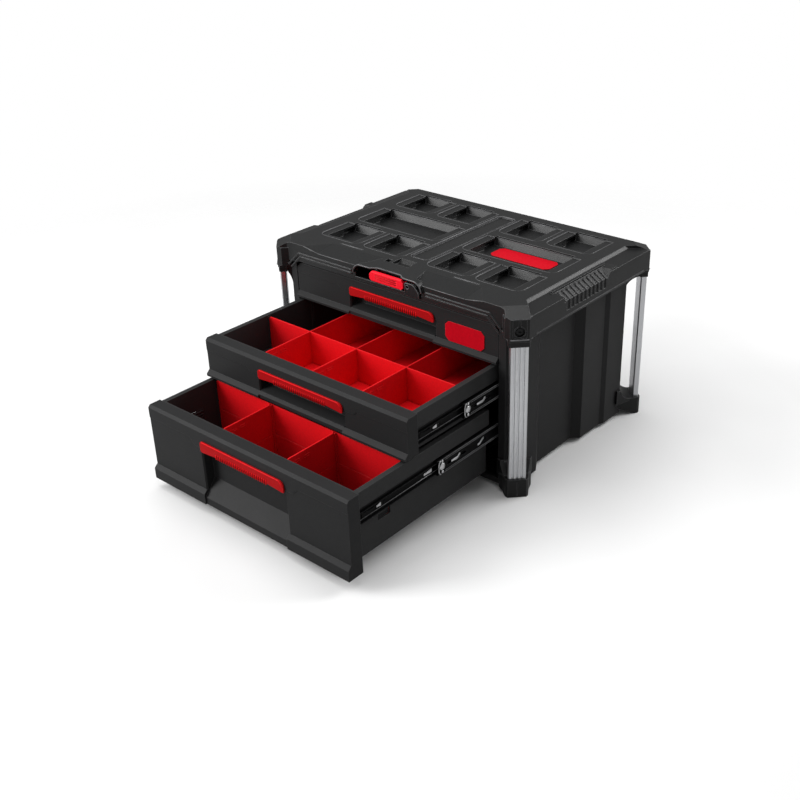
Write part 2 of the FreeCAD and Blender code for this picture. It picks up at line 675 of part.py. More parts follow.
def side_grooves():
    """The groove along the foot of the cover's side bands and its back."""
    z0 = DECK_TOP - SIDE_GROOVE_DROP
    z1 = z0 + SIDE_GROOVE_WIDTH
    reach_y, reach_x = HALF_DEPTH - SIDE_GROOVE_END, HALF_WIDTH - SIDE_GROOVE_END
    side = box(HALF_WIDTH - SIDE_GROOVE_DEPTH, HALF_WIDTH + 1, -reach_y, reach_y, z0, z1)
    back = box(-reach_x, reach_x, HALF_DEPTH - SIDE_GROOVE_DEPTH, HALF_DEPTH + 1, z0, z1)
    return both_sides(side) + [back]


def corner_block():
    """Corner of the cover in its own axes: the solid block with its rim, and the collar."""
    half = POST_WIDTH / 2 + COLLAR_MARGIN
    inner = -POST_SET_BACK - POST_THICK - COLLAR_MARGIN
    block = box(inner - WEB_ROOT, 0.0, -half - 6, half + 6, SKIRT_BOTTOM, CORNER_TOP)
    rim = box(inner, 0.0, -half - 1, half + 1, SKIRT_BOTTOM - CORNER_RIM, SKIRT_BOTTOM)
    collar = box(inner, -COLLAR_SET_BACK, -half, half, COLLAR_BOTTOM, SKIRT_BOTTOM)
    edges = [e for e in collar.Edges if is_upright(e) and e.Vertexes[0].Point.x > inner + 1]
    return block.fuse(rim), collar.makeFillet(3.0, edges)


def post_blank(z0, z1, grow=0.0):
    """The bar that a post is cut from, or with a little air round it the room for its socket."""
    outer = -POST_SET_BACK + grow
    inner = -POST_SET_BACK - POST_THICK - grow
    half = POST_WIDTH / 2 + grow
    edge = POST_EDGE
    right = [(outer, half - edge), (outer - edge, half), (inner + edge, half), (inner, half - edge)]
    return plan_prism(right + [(u, -v) for u, v in reversed(right)], z0, z1)


def post(name):
    """A metal post with upright flutes in its outer face."""
    z0, z1 = FOOT_TOP - SOCKET_DEPTH, COLLAR_BOTTOM + SOCKET_DEPTH
    places = [(i - (FLUTES - 1) / 2) * FLUTE_PITCH for i in range(FLUTES)]
    outer = -POST_SET_BACK
    half = FLUTE_WIDTH / 2
    floor_half = half - FLUTE_DEPTH
    mouth, floor = outer + 1, outer - FLUTE_DEPTH
    flutes = []
    for y in places:
        section = [(mouth, y - half - 1), (mouth, y + half + 1),
                   (floor, y + floor_half), (floor, y - floor_half)]
        flutes.append(plan_prism(section, z0 - 1, z1 + 1))
    return place_at_corner(cut_all(post_blank(z0, z1), flutes), CORNERS[name])


def corner_screw():
    """Socket head screw through the face of a corner block, in the corner's own axes."""
    head_front = -SCREW_RECESS_DEPTH + SCREW_HEAD_LENGTH
    head = rod((head_front, 0, SCREW_HEIGHT), (-1, 0, 0), SCREW_HEAD_RADIUS, SCREW_HEAD_LENGTH)
    head_back = -SCREW_RECESS_DEPTH
    shank = side_prism(ring(8, SCREW_RADIUS, 0.0, SCREW_HEIGHT), head_back - SCREW_LENGTH, head_back)
    hexagon = ring(6, SCREW_HEX / math.sqrt(3), 0.0, SCREW_HEIGHT)
    socket = side_prism(hexagon, head_front - SCREW_HEX_DEPTH, head_front)
    return head.cut(socket).fuse(shank).removeSplitter()


def screw_room():
    """What is cut from a corner block: the face panel, the screw's recess with its ring, and the bore."""
    recess = rod((1.0, 0, SCREW_HEIGHT), (-1, 0, 0), SCREW_RECESS_RADIUS, SCREW_RECESS_DEPTH + 1.0)
    bore = rod((0, 0, SCREW_HEIGHT), (-1, 0, 0), SCREW_RADIUS + SCREW_BORE_FIT, SCREW_RECESS_DEPTH + 13.0)
    z0, z1 = SKIRT_BOTTOM + PANEL_EDGE, CORNER_TOP - PANEL_EDGE
    panel = box(-PANEL_DEPTH, 1.0, -PANEL_HALF, PANEL_HALF, z0, z1)
    ring_radius = SCREW_RECESS_RADIUS + SCREW_RING
    panel = panel.cut(rod((2.0, 0, SCREW_HEIGHT), (-1, 0, 0), ring_radius, 2.0 + PANEL_DEPTH))
    groove = box(-2 * PANEL_DEPTH, 1.0, -PANEL_GROOVE, PANEL_GROOVE, SCREW_HEIGHT, z1 - PANEL_EDGE)
    return recess.fuse([bore, panel, groove])


def window_web(signs, z_root, z_post, z_case, half):
    """The web between a post and the case, whose free edge curves to close the window's end."""
    start, end = -POST_SET_BACK - POST_THICK - COLLAR_MARGIN, case_corner_depth(signs[1])
    root = end - WEB_ROOT
    low, high = Vector(start, -half, z_post), Vector(end, -half, z_case)
    run, rise = start - end, abs(z_case - z_post)
    chord = math.hypot(run, rise)
    depth = chord / 2 * math.tan(0.47 * math.atan(min(run / rise, rise / run)))
    toward = 1.0 if z_post > z_case else -1.0
    bend = (low + high) / 2 + Vector(-rise, 0, toward * run) * (depth / chord)
    hollow_edge = Part.Edge(Part.Arc(low, bend, high))
    post_side = start + 2.0
    corners = [high, Vector(root, -half, z_case), Vector(root, -half, z_root),
               Vector(post_side, -half, z_root), Vector(post_side, -half, z_post), low]
    straight = Part.makePolygon(corners)
    return Part.Face(Part.Wire([hollow_edge] + straight.Edges)).extrude(Vector(0, 2 * half, 0))


def foot_web(signs):
    """The web over a foot, which widens towards the case."""
    start, end = -POST_SET_BACK - POST_THICK - COLLAR_MARGIN, case_corner_depth(signs[1])
    root = end - WEB_ROOT
    wide = FOOT_HALF_WIDTH + (start - root) * FOOT_WEB_SPREAD
    web = window_web(signs, FOOT_TOP - 4.0, FOOT_TOP, WINDOW_BOTTOM, wide)
    near = start + 2.0
    plan = [(near, -FOOT_HALF_WIDTH), (near, FOOT_HALF_WIDTH), (root, wide), (root, -wide)]
    return web.common(plan_prism(plan, 0, WINDOW_BOTTOM))


def case_corner_depth(sy):
    """Place of the case's cut corner, behind the outer face of the cover's corner."""
    if sy < 0:
        corner_sum = CASE_SIDE - FRONT_CORNER - CASE_FRONT
    else:
        corner_sum = CASE_HIP - BACK_CORNER + CASE_BACK
    face_sum = HALF_WIDTH + HALF_DEPTH - CORNER_CUT
    return (corner_sum - face_sum) / math.sqrt(2)


def grip_slope():
    """Two points of the grip's floor in X and Z: at its inner end and past the side face."""
    low = SHOULDER_EDGE_TOP - GRIP_DROP
    return (HALF_WIDTH - GRIP_REACH, DECK_TOP - SHOULDER_DROP - 1.0), (HALF_WIDTH + 1, low - 0.5)


def grip_ramp(z):
    """Place in Y of the slope that closes the grip's rear end, at one height."""
    return GRIP_BACK - GRIP_RAMP * (DECK_TOP - z) / (GRIP_DROP + SHOULDER_EDGE_DROP)


def grip_tool():
    """The slanted finger notch in one side of the cover, with its ribs and its rear slope left standing."""
    inner, outer = grip_slope()
    notch = front_prism([inner, outer, (outer[0], DECK_TOP), (inner[0], DECK_TOP)], GRIP_FRONT, GRIP_BACK)
    low = outer[1] - 1.0
    ramp = side_prism([(grip_ramp(low), low), (GRIP_BACK + 1, low), (GRIP_BACK + 1, DECK_TOP),
                       (GRIP_BACK, DECK_TOP)], inner[0] - 1, outer[0] + 1)
    return notch.cut(grip_ribs(inner, outer) + [ramp])


def grip_places():
    return [GRIP_FRONT + GRIP_RIB_START + i * GRIP_RIB_PITCH for i in range(GRIP_RIBS)]


def grip_ribs(inner, outer):
    """Ribs that run down the slope of the grip."""
    (x0, z0), (x1, z1) = inner, outer
    section = [(x0, z0 - 1), (x1, z1 - 1), (x1, z1 + GRIP_RIB_HEIGHT), (x0 + 4, z0 + GRIP_RIB_HEIGHT - 1.5)]
    return [front_prism(section, y - GRIP_RIB_WIDTH / 2, y + GRIP_RIB_WIDTH / 2) for y in grip_places()]


def grip_grooves():
    """Grooves between the ribs on the upright band below the grip."""
    top = SHOULDER_EDGE_TOP - GRIP_DROP + 1.0
    low = top - GRIP_RIB_TAIL
    gap = GRIP_RIB_PITCH - GRIP_RIB_WIDTH
    grooves = []
    for y in grip_places()[:-1]:
        y0 = y + GRIP_RIB_WIDTH / 2
        grooves.append(box(HALF_WIDTH - GRIP_RIB_HEIGHT, HALF_WIDTH + 1, y0, y0 + gap, low, top))
    return grooves


def grip_lip():
    """A raised edge along the deck beside the grip, and the block that closes its rear end."""
    x1 = HALF_WIDTH - GRIP_REACH
    z0 = SHOULDER_EDGE_TOP
    lip = box(x1 - GRIP_LIP_WIDTH, x1, GRIP_FRONT - 6, GRIP_BACK + 6, z0 - 6, DECK_TOP - GRIP_LIP_DROP)
    low, top = z0 - 2.0, z0 + GRIP_BLOCK_RISE
    back = GRIP_BACK + GRIP_BLOCK_LENGTH
    block = side_prism([(grip_ramp(low), low), (grip_ramp(top), top), (back, top), (back + 3.0, low)], x1 - 1,
                       HALF_WIDTH - 1.0)
    return lip.fuse(block)


def bead(points, y_face):
    """A raised bead that follows a line on the front, given in X and Z."""
    pieces = []
    for (x0, z0), (x1, z1) in zip(points, points[1:]):
        length = math.hypot(x1 - x0, z1 - z0)
        ux, uz = (x1 - x0) / length * BEAD_WIDTH / 4, (z1 - z0) / length * BEAD_WIDTH / 4
        nx, nz = -2 * uz, 2 * ux
        corners = [(x0 - ux + nx, z0 - uz + nz), (x1 + ux + nx, z1 + uz + nz), (x1 + ux - nx, z1 + uz - nz),
                   (x0 - ux - nx, z0 - uz - nz)]
        pieces.append(front_prism(corners, y_face - BEAD_HEIGHT, y_face + 0.5))
    return pieces


def rim_slot():
    """The slanted dark slot between the two raised lines at the right end of the opening."""
    (drop_a, start_a, end_a), (drop_b, start_b, end_b) = RIM_LINES
    low = (FASCIA_HALF_WIDTH - start_a, DECK_TOP - drop_a)
    high = (FASCIA_HALF_WIDTH - start_b, DECK_TOP - drop_b)
    x0, z0 = (low[0] + high[0]) / 2 + 3.0, (low[1] + high[1]) / 2 - 3.0
    run = (start_a - end_a) * 0.55
    half = RIM_SLOT_WIDTH / 2
    points = [(x0 - half, z0), (x0 + half, z0), (x0 + run + half, z0 - run * RIM_SLOPE),
              (x0 + run - half, z0 - run * RIM_SLOPE)]
    return front_prism(points, FASCIA - 1, FASCIA + RIM_SLOT_DEPTH)


def rim_beads():
    beads = []
    for drop, start, end in RIM_LINES:
        x_cut, x_side = FASCIA_HALF_WIDTH - start, FASCIA_HALF_WIDTH - end
        z = DECK_TOP - drop
        low = z - (x_side - x_cut) * RIM_SLOPE
        line = bead([(x_side, low), (x_cut, z), (SCOOP_HALF + HOOD_THICK + RIM_START, z)], FASCIA)
        for piece in line:
            beads += both_sides(piece)
    return beads


def opening_profile(grow=0.0):
    """The drawer opening in X and Z, with its top corners cut."""
    half, top, cut = OPENING_HALF + grow, OPENING_TOP + grow, TOP_CORNER_CUT
    return [(-half, SILL_TOP - grow), (half, SILL_TOP - grow), (half, top - cut), (half - cut, top),
            (-half + cut, top), (-half, top - cut)]


def latch_scoop():
    """The hole in the fascia that the latch works in, and the slots that its teeth rise through."""
    y0, y1 = FASCIA - HOOD_REACH - 3, FASCIA + SCOOP_DEPTH
    hole = box(-SCOOP_HALF, SCOOP_HALF, y0, y1, SCOOP_BOTTOM, SCOOP_TOP)
    corners = [e for e in hole.Edges if e.BoundBox.ZMin > SCOOP_TOP - 1e-6 and e.BoundBox.XLength < 1e-6]
    hole = hole.makeFillet(SCOOP_CORNER, corners)
    slots = []
    for x in TOOTH_PLACES:
        y = PIN_Y + TONGUE_BEHIND_PIN
        reach = TOOTH_HALF + TOOTH_ROOM
        slots.append(box(x - reach, x + reach, y - 2, y + TONGUE_THICK + 4, FLANGE_BOTTOM, DECK_TOP + 1))
    return [hole, *slots, strike_wedge(0.0)]


def strike_wedge(grow):
    """The wedge shaped recess between the teeth, or with a wall round it when grow is given."""
    y0, y1 = FASCIA + STRIKE_FRONT - grow, FASCIA + STRIKE_FRONT + STRIKE_LENGTH + grow
    floor = DECK_TOP - STRIKE_DEPTH - grow
    top = DECK_TOP + (0.0 if grow else 1.0)
    profile = [(y0, floor), (y1, floor), (y1 + STRIKE_RAMP, top), (y0, top)]
    return side_prism(profile, STRIKE[0] - grow, STRIKE[1] + grow)


def latch_lugs():
    """Two lugs under the hood that hold the latch pin, one inside each arm of the latch."""
    x1 = LATCH_HALF - LATCH_ARM - FIT
    x0 = x1 - LUG_THICK
    eye = rod((x0, PIN_Y, PIN_HEIGHT), (1, 0, 0), LUG_RADIUS, LUG_THICK)
    front = PIN_Y - HANGER_FRONT
    hanger = box(x0, x1, front, PIN_Y + LUG_RADIUS, PIN_HEIGHT, SCOOP_TOP + 0.5)
    hanger = hanger.cut(box(x0, x1, front, FASCIA + HOOD_SET_BACK, SCOOP_TOP - 0.5, SCOOP_TOP + 1))
    bore = rod((0, PIN_Y, PIN_HEIGHT), (1, 0, 0), PIN_RADIUS + PIN_FIT, 60)
    return both_sides(eye.fuse(hanger).removeSplitter().cut(bore))


def cover_corners():
    """Blocks, collars and window webs at the four corners."""
    block, collar = corner_block()
    outline = plan_prism(cut_corner_outline(HALF_WIDTH, HALF_DEPTH, CORNER_CUT), COLLAR_BOTTOM, DECK_TOP)
    case_room = plan_prism(case_outline(0.0), CASE_BOTTOM, FLANGE_BOTTOM)
    slope = corner_slope_tool()
    pieces = []
    for signs in CORNERS.values():
        pieces.append(place_at_corner(block.cut(slope), signs).common(outline).cut(case_room))
        pieces.append(place_at_corner(collar, signs))
        web = window_web(signs, FLANGE_BOTTOM + 1.0, COLLAR_BOTTOM, WINDOW_TOP, WEB_HALF)
        pieces.append(place_at_corner(web, signs).cut(case_room))
    return pieces


def cover():
    body = cover_block().cut(cover_hollow())
    added = cover_corners() + rim_beads() + [hood(), strike_wedge(WALL - 1.0)]
    added += both_sides(grip_lip()) + both_sides(hood_arch())
    body = body.fuse(added)
    opening = front_prism(opening_profile(), -HALF_DEPTH - 1, FASCIA + OPENING_CUT)
    tools = [opening, *latch_scoop(), centre_tray()]
    for place in (*small_recess_places(), *wide_recess_places()):
        tools += [recess_hollow(*place), recess_border(*place)]
    y0, x1 = FASCIA + SLOT_BEHIND_FASCIA, DECK_HALF_WIDTH - SLOT_OUTER_INSET
    slot = box(x1 - SLOT_LENGTH, x1, y0, y0 + SLOT_WIDTH, DECK_TOP - SLOT_DEPTH, DECK_TOP + 1)
    tools += both_sides(slot)
    tools += both_sides(grip_tool()) + both_sides(rim_slot()) + side_grooves()
    for groove in grip_grooves():
        tools += both_sides(groove)
    socket = post_blank(COLLAR_BOTTOM - 1, COLLAR_BOTTOM + SOCKET_DEPTH + 0.5, SOCKET_FIT)
    tools += at_all_corners(socket) + at_all_corners(screw_room())
    body = cut_all(body, tools)
    return fuse_all([body] + latch_lugs())


def foot(name):
    """A corner foot with the post's lower socket, and the web that carries it from the case."""
    signs = CORNERS[name]
    inner = -POST_SET_BACK - POST_THICK - COLLAR_MARGIN
    half = FOOT_HALF_WIDTH
    end = case_corner_depth(signs[1])
    face_half = CORNER_CUT / math.sqrt(2)
    upper = [(0.0, face_half), (-FOOT_SHOULDER, half), (inner, half + FOOT_SPREAD),
             (end, half + FOOT_ROOT_SPREAD)]
    block = plan_prism(upper + [(u, -v) for u, v in reversed(upper)], 0.0, FOOT_TOP)
    rise = (-FOOT_FLAT - end) * CORNER_DROP / CORNER_SLOPE_RUN
    under = flat_face([Vector(-FOOT_FLAT, -60, 0), Vector(end, -60, rise), Vector(end, -60, -1),
                       Vector(-FOOT_FLAT, -60, -1)])
    block = block.cut(under.extrude(Vector(0, 120, 0)))
    shape = block.fuse(foot_web(signs))
    shape = shape.cut(post_blank(FOOT_TOP - SOCKET_DEPTH - 0.5, FOOT_TOP + 1, SOCKET_FIT))
    groove = box(-FOOT_GROOVE, 1.0, -1.0, 1.0, 4.0, FOOT_TOP - 5.0)
    shape = place_at_corner(shape.cut(groove), signs)
    case_room = plan_prism(case_outline(0.0), CASE_BOTTOM, SKIRT_BOTTOM)
    return shape.cut(case_room).removeSplitter()


def case_shell():
    """The moulded case: stepped sides, back, floor and the front stiles, open to the front."""
    outer = plan_prism(case_outline(0.0), CASE_BOTTOM, FLANGE_BOTTOM)
    inner = plan_prism(case_outline(WALL), CASE_BOTTOM + FLOOR_THICK, FLANGE_BOTTOM + 1)
    y0, y1 = CASE_FRONT - 1, CASE_FRONT + WALL + 1
    opening = front_prism(opening_profile(), y0, y1)
    top_open = box(-OPENING_HALF, OPENING_HALF, y0, y1, OPENING_TOP - TOP_CORNER_CUT, FLANGE_BOTTOM + 1)
    shell = outer.cut([inner, opening, top_open])
    sill_back = CASE_FRONT + SILL_DEPTH
    sill = box(-OPENING_HALF, OPENING_HALF, CASE_FRONT, sill_back, CASE_BOTTOM, SILL_TOP)
    cleats = [cleat(x, y) for x in (*RECESS_COLUMNS, *[-c for c in RECESS_COLUMNS]) for y in RECESS_BACKS]
    z0, z1 = CASE_BOTTOM + FLOOR_THICK, SILL_TOP - 2.0
    ribs = [box(x - RIB / 2, x + RIB / 2, sill_back, CASE_BACK - WALL, z0, z1) for x in FLOOR_RIBS]
    return fuse_all([shell, sill] + cleats + ribs)


def cleat(x, back):
    """A wedge under the case that slides into a recess of the box below."""
    y1 = back - LIP_LENGTH / 2 + CLEAT_LENGTH / 2
    y0 = y1 - CLEAT_LENGTH
    bottom = CASE_BOTTOM - CLEAT_HEIGHT
    profile = [(y0, CASE_BOTTOM), (y0 + CLEAT_NOSE, bottom), (y1 - CLEAT_NOSE, bottom), (y1, CASE_BOTTOM)]
    return side_prism(profile, x - CLEAT_WIDTH / 2, x + CLEAT_WIDTH / 2)


def slide_panel(side):
    """The inner panel of one side. It carries the outer rails and stands on ribs off the case wall."""
    z0, z1 = CASE_BOTTOM + FLOOR_THICK, FLANGE_BOTTOM - 1.0
    y0, y1 = CASE_FRONT + WALL, CASE_BACK - WALL
    panel = box(SLIDE_FACE, SLIDE_FACE + WALL, y0, y1 - 30, z0, z1)
    ribs = [box(SLIDE_FACE + WALL - 0.5, HALF_WIDTH, y, y + RIB, z0, z1) for y in PANEL_RIBS]
    room = plan_prism(case_outline(WALL), z0, z1)
    shape = fuse_all([panel] + [rib.common(room) for rib in ribs])
    return shape if side > 0 else mirrored(shape)


def drawer_values(name):
    """Base height, height of the front, and how far the drawer stands open at rest."""
    return {
        "top": (TOP_FRONT_BASE, SMALL_FRONT_HEIGHT, 0.0),
        "middle": (MIDDLE_FRONT_BASE, SMALL_FRONT_HEIGHT, MIDDLE_OPEN),
        "bottom": (BOTTOM_FRONT_BASE, BOTTOM_FRONT_HEIGHT, BOTTOM_OPEN),
    }[name]


def runner_height(name):
    base, height, _ = drawer_values(name)
    return base + height - RUNNER_BELOW_TOP


def is_tall(name):
    return drawer_values(name)[1] > TALL_FROM


def pocket_heights(name):
    """Front and back height of the pocket's floor, and the height of its roof."""
    base, height, _ = drawer_values(name)
    front_rise, back_rise, roof_drop = TALL_POCKET if is_tall(name) else SMALL_POCKET
    return base + front_rise, base + back_rise, base + height - roof_drop


def lip_heights(name):
    """Top of the lip's front face, and where its slope meets the face of the drawer."""
    base, _, _ = drawer_values(name)
    low = base + (TALL_LIP_RISE if is_tall(name) else SMALL_LIP_RISE)
    return low, low + LIP_SLOPE


def drawer_front(name):
    """Hollow front panel with a finger pocket, a bottom lip and a bevelled top edge."""
    base, height, _ = drawer_values(name)
    top = base + height
    face, back = CASE_FRONT, CASE_FRONT + FRONT_THICK
    lip_face, lip_top = lip_heights(name)
    profile = [(back, base), (face - LIP_PROUD, base), (face - LIP_PROUD, lip_face), (face, lip_top),
               (face, top - TOP_EDGE_BEVEL), (face + TOP_EDGE_BEVEL, top), (back, top)]
    panel = side_prism(profile, -FRONT_HALF, FRONT_HALF)
    inside, inner_top = face + PANEL_WALL, top - PANEL_WALL
    hollow = [(back + 1, base + PANEL_WALL), (inside, base + PANEL_WALL),
              (inside, inner_top - TOP_EDGE_BEVEL), (inside + TOP_EDGE_BEVEL, inner_top),
              (back + 1, inner_top)]
    room = side_prism(hollow, -FRONT_HALF + PANEL_WALL, FRONT_HALF - PANEL_WALL)
    room = room.cut(pocket_solid(name, PANEL_WALL))
    ribs = [box(x - RIB / 2, x + RIB / 2, face, back, base, top) for x in FRONT_RIBS]
    lip_front = face - LIP_PROUD
    notch = box(-POCKET_HALF, POCKET_HALF, lip_front - 1, lip_front + LIP_NOTCH_DEPTH, base - 1, lip_top)
    tools = [room.cut(ribs), pocket_solid(name, 0.0), notch]
    tools += both_sides(pocket_edge(name)) + both_sides(step_tool(name))
    if name == "top":
        tools += both_sides(top_corner_tool(top))
    panel = cut_all(panel, tools)
    return fuse_all([panel] + top_corner_walls(top)) if name == "top" else panel


def pocket_edge(name):
    """Chamfer on the right upright edge of the pocket."""
    _, lip_top = lip_heights(name)
    roof = pocket_heights(name)[2]
    x, y = POCKET_HALF - 0.5, CASE_FRONT - 0.5
    reach = POCKET_EDGE + 1.0
    return plan_prism([(x, y), (x + reach, y), (x, y + reach)], lip_top, roof)


def step_tool(name):
    """The shallow set back of the face under the step line, right of the pocket."""
    base, height, _ = drawer_values(name)
    low, line = lip_heights(name)[1], base + height - STEP_BELOW_TOP
    inner_line = pocket_heights(name)[2] + STEP_OVER_ROOF
    start, x_break = POCKET_HALF + 1.0, POCKET_HALF + STEP_BREAK
    points = [(start, low), (FRONT_HALF + 1, low), (FRONT_HALF + 1, line), (x_break, line),
              (x_break - (line - inner_line), inner_line), (start, inner_line)]
    return front_prism(points, CASE_FRONT - 1, CASE_FRONT + STEP_DEPTH)


def top_corner_tool(top):
    cut = TOP_CORNER_CUT
    points = [(FRONT_HALF - cut, top), (FRONT_HALF + 1, top - cut - 1), (FRONT_HALF + 1, top + 1),
              (FRONT_HALF - cut, top + 1)]
    return front_prism(points, CASE_FRONT - 5, CASE_FRONT + FRONT_THICK + 5)


def top_corner_walls(top):
    """Slanted walls that close the hollow under the cut corners of the top drawer's front."""
    cut = TOP_CORNER_CUT
    wall = PANEL_WALL
    points = [(FRONT_HALF - cut, top), (FRONT_HALF, top - cut), (FRONT_HALF - wall, top - cut - wall),
              (FRONT_HALF - cut - 2 * wall, top - wall / 2), (FRONT_HALF - cut - wall, top)]
    slab = front_prism(points, CASE_FRONT + TOP_EDGE_BEVEL, CASE_FRONT + FRONT_THICK)
    return both_sides(slab)


def pocket_solid(name, grow):
    """The room of the finger pocket, or with a wall round it when grow is given."""
    low_front, low_back, roof = pocket_heights(name)
    front = CASE_FRONT - LIP_PROUD - 1
    back = CASE_FRONT + POCKET_DEPTH + min(grow, 2.0)
    profile = [(front, low_front - grow), (back, low_back - grow), (back, roof + grow), (front, roof + grow)]
    return side_prism(profile, -POCKET_HALF - grow, POCKET_HALF + grow)


def pull_strip(name):
    """The coloured strip along the top of the pocket, with a notched lower edge and a lip to pull."""
    roof = pocket_heights(name)[2]
    face, front = CASE_FRONT, CASE_FRONT - STRIP_THICK
    z0, z1 = roof - STRIP_DROP, roof + (TALL_STRIP_RISE if is_tall(name) else SMALL_STRIP_RISE)
    lip = face + STRIP_LIP
    profile = [(face, roof), (face, z1), (front + STRIP_EDGE, z1), (front, z1 - STRIP_EDGE), (front, z0),
               (lip, z0), (lip, roof)]
    strip = side_prism(profile, -POCKET_HALF + FIT, POCKET_HALF - FIT)
    end = POCKET_HALF - FIT
    corner = [(end, z1), (end - STRIP_CORNER, z1), (end, z1 - STRIP_CORNER)]
    tools = both_sides(front_prism(corner, front - 1, face))
    half = STRIP_NOTCH_WIDTH / 2
    for i in range(STRIP_NOTCHES):
        x = (i - (STRIP_NOTCHES - 1) / 2) * STRIP_NOTCH_PITCH
        notch = [(x - half, z0 - 0.1), (x + half, z0 - 0.1), (x, z0 + STRIP_NOTCH_DEPTH)]
        tools.append(front_prism(notch, front - 1, front + STRIP_NOTCH_INTO))
    return cut_all(strip, tools)


def tray_floor(name):
    base, _, _ = drawer_values(name)
    return base + (TALL_TRAY_RISE if is_tall(name) else SMALL_TRAY_RISE)


def tray_top(name):
    base, height, _ = drawer_values(name)
    return base + height - (TOP_TRAY_BELOW_TOP if name == "top" else TRAY_BELOW_TOP)


def channel_top(name):
    """Top of the room beside the tray that its slides run in."""
    return runner_height(name) + OUTER_HEIGHT / 2 + CHANNEL_FIT


def tray(name):
    """The drawer's tray. Its sides stand inside the slides, and its rim reaches out over them."""
    z0, z1 = tray_floor(name), tray_top(name)
    y0, y1 = CASE_FRONT + FRONT_THICK, TRAY_END
    hollow = box(-TRAY_INSIDE, TRAY_INSIDE, y0 + TRAY_WALL, y1 - TRAY_WALL, z0 + TRAY_WALL, z1 + 1)
    body = box(-TRAY_SIDE, TRAY_SIDE, y0, y1, z0, z1).cut(hollow)
    under, low = z1 - TRAY_WALL, channel_top(name)
    rim_inside = TRAY_HALF - TRAY_WALL
    rim = front_prism([(TRAY_SIDE - 1, under), (rim_inside, under), (rim_inside, low), (TRAY_HALF, low),
                       (TRAY_HALF, z1), (TRAY_SIDE - 1, z1)], y0, y1)
    body = fuse_all([body] + both_sides(rim) + divider_guides(name))
    if not is_tall(name):
        return body
    start, top = CASE_FRONT + WINDOW_BEHIND_FACE, runner_height(name) + WINDOW_OVER_RUNNER
    window = box(TRAY_INSIDE - 1, TRAY_SIDE + 1, start, start + WINDOW_LENGTH, top - WINDOW_HEIGHT, top)
    return cut_all(body, both_sides(window))


def cross_places(name):
    """Places of the cross dividers, and whether they stop at the long divider."""
    inner = 2 * (TRAY_HALF - TRAY_WALL)
    if name == "middle":
        return [(i - 1) * inner / 4 for i in range(3)], False
    if name == "bottom":
        return [-inner / 6, inner / 6], True
    return [], False


def long_divider_y():
    return CASE_FRONT + DIVIDER_BEHIND_FACE


def divider_guides(name):
    """Pairs of small ribs on the tray's walls that hold the ends of the dividers."""
    z0, z1 = tray_floor(name) + TRAY_WALL, tray_top(name) - DIVIDER_BELOW_TOP
    gap = DIVIDER_THICK / 2 + DIVIDER_FIT
    ribs = []
    for y in (long_divider_y(), CASE_FRONT + SPARE_GUIDE_BEHIND_FACE):
        for y0 in (y - gap - GUIDE_RIB, y + gap):
            ribs += both_sides(box(TRAY_INSIDE - GUIDE_REACH, TRAY_INSIDE + 0.5, y0, y0 + GUIDE_RIB, z0, z1))
    front = CASE_FRONT + FRONT_THICK + TRAY_WALL
    back = TRAY_END - TRAY_WALL
    places, stops = cross_places(name)
    for x in places:
        for x0 in (x - gap - GUIDE_RIB, x + gap):
            ribs.append(box(x0, x0 + GUIDE_RIB, front - 0.5, front + END_GUIDE_REACH, z0, z1))
            if not stops:
                ribs.append(box(x0, x0 + GUIDE_RIB, back - END_GUIDE_REACH, back + 0.5, z0, z1))
    return ribs


def rounded_top(plate):
    """Round the upper corners of a divider plate."""
    top = plate.BoundBox.ZMax - 1e-6
    ends = [e for e in plate.Edges if e.BoundBox.ZMin > top and e.Length < DIVIDER_THICK + 0.1]
    return plate.makeFillet(DIVIDER_CORNER, ends)


def long_divider(name):
    """The divider across the whole drawer, halved where the cross dividers pass."""
    y, half = long_divider_y(), DIVIDER_THICK / 2
    z0, z1 = tray_floor(name) + TRAY_WALL, tray_top(name) - DIVIDER_BELOW_TOP
    reach = TRAY_INSIDE - DIVIDER_FIT
    plate = rounded_top(box(-reach, reach, y - half, y + half, z0, z1))
    places, stops = cross_places(name)
    gap = half + DIVIDER_FIT
    line = (z0 + z1) / 2
    if not stops:
        slots = [box(x - gap, x + gap, y - half - 1, y + half + 1, line, z1 + 1) for x in places]
        return cut_all(plate, slots)
    plate = plate.cut(box(-reach - 1, reach + 1, y - half - 1, y - half + DIVIDER_LINE, line, line + 1.0))
    clips = []
    for x in places:
        for x0 in (x - gap - GUIDE_RIB, x + gap):
            clips.append(box(x0, x0 + GUIDE_RIB, y - half - CLIP_REACH, y - half + DIVIDER_LINE, z0, z1))
    return fuse_all([plate] + clips)


def cross_divider(name, number):
    """One divider from front to back. In the bottom drawer it stops at the long divider."""
    places, stops = cross_places(name)
    x = places[number]
    y, half = long_divider_y(), DIVIDER_THICK / 2
    z0, z1 = tray_floor(name) + TRAY_WALL, tray_top(name) - DIVIDER_BELOW_TOP
    front = CASE_FRONT + FRONT_THICK + TRAY_WALL + DIVIDER_FIT
    back = y - half - DIVIDER_FIT if stops else TRAY_END - TRAY_WALL - DIVIDER_FIT
    plate = rounded_top(box(x - half, x + half, front, back, z0, z1))
    line = (z0 + z1) / 2
    if stops:
        return plate.cut(box(x + half - DIVIDER_LINE, x + half + 1, front - 1, back + 1, line, line + 1.0))
    gap = half + DIVIDER_FIT
    return plate.cut(box(x - half - 1, x + half + 1, y - gap, y + gap, z0 - 1, line + DIVIDER_FIT))


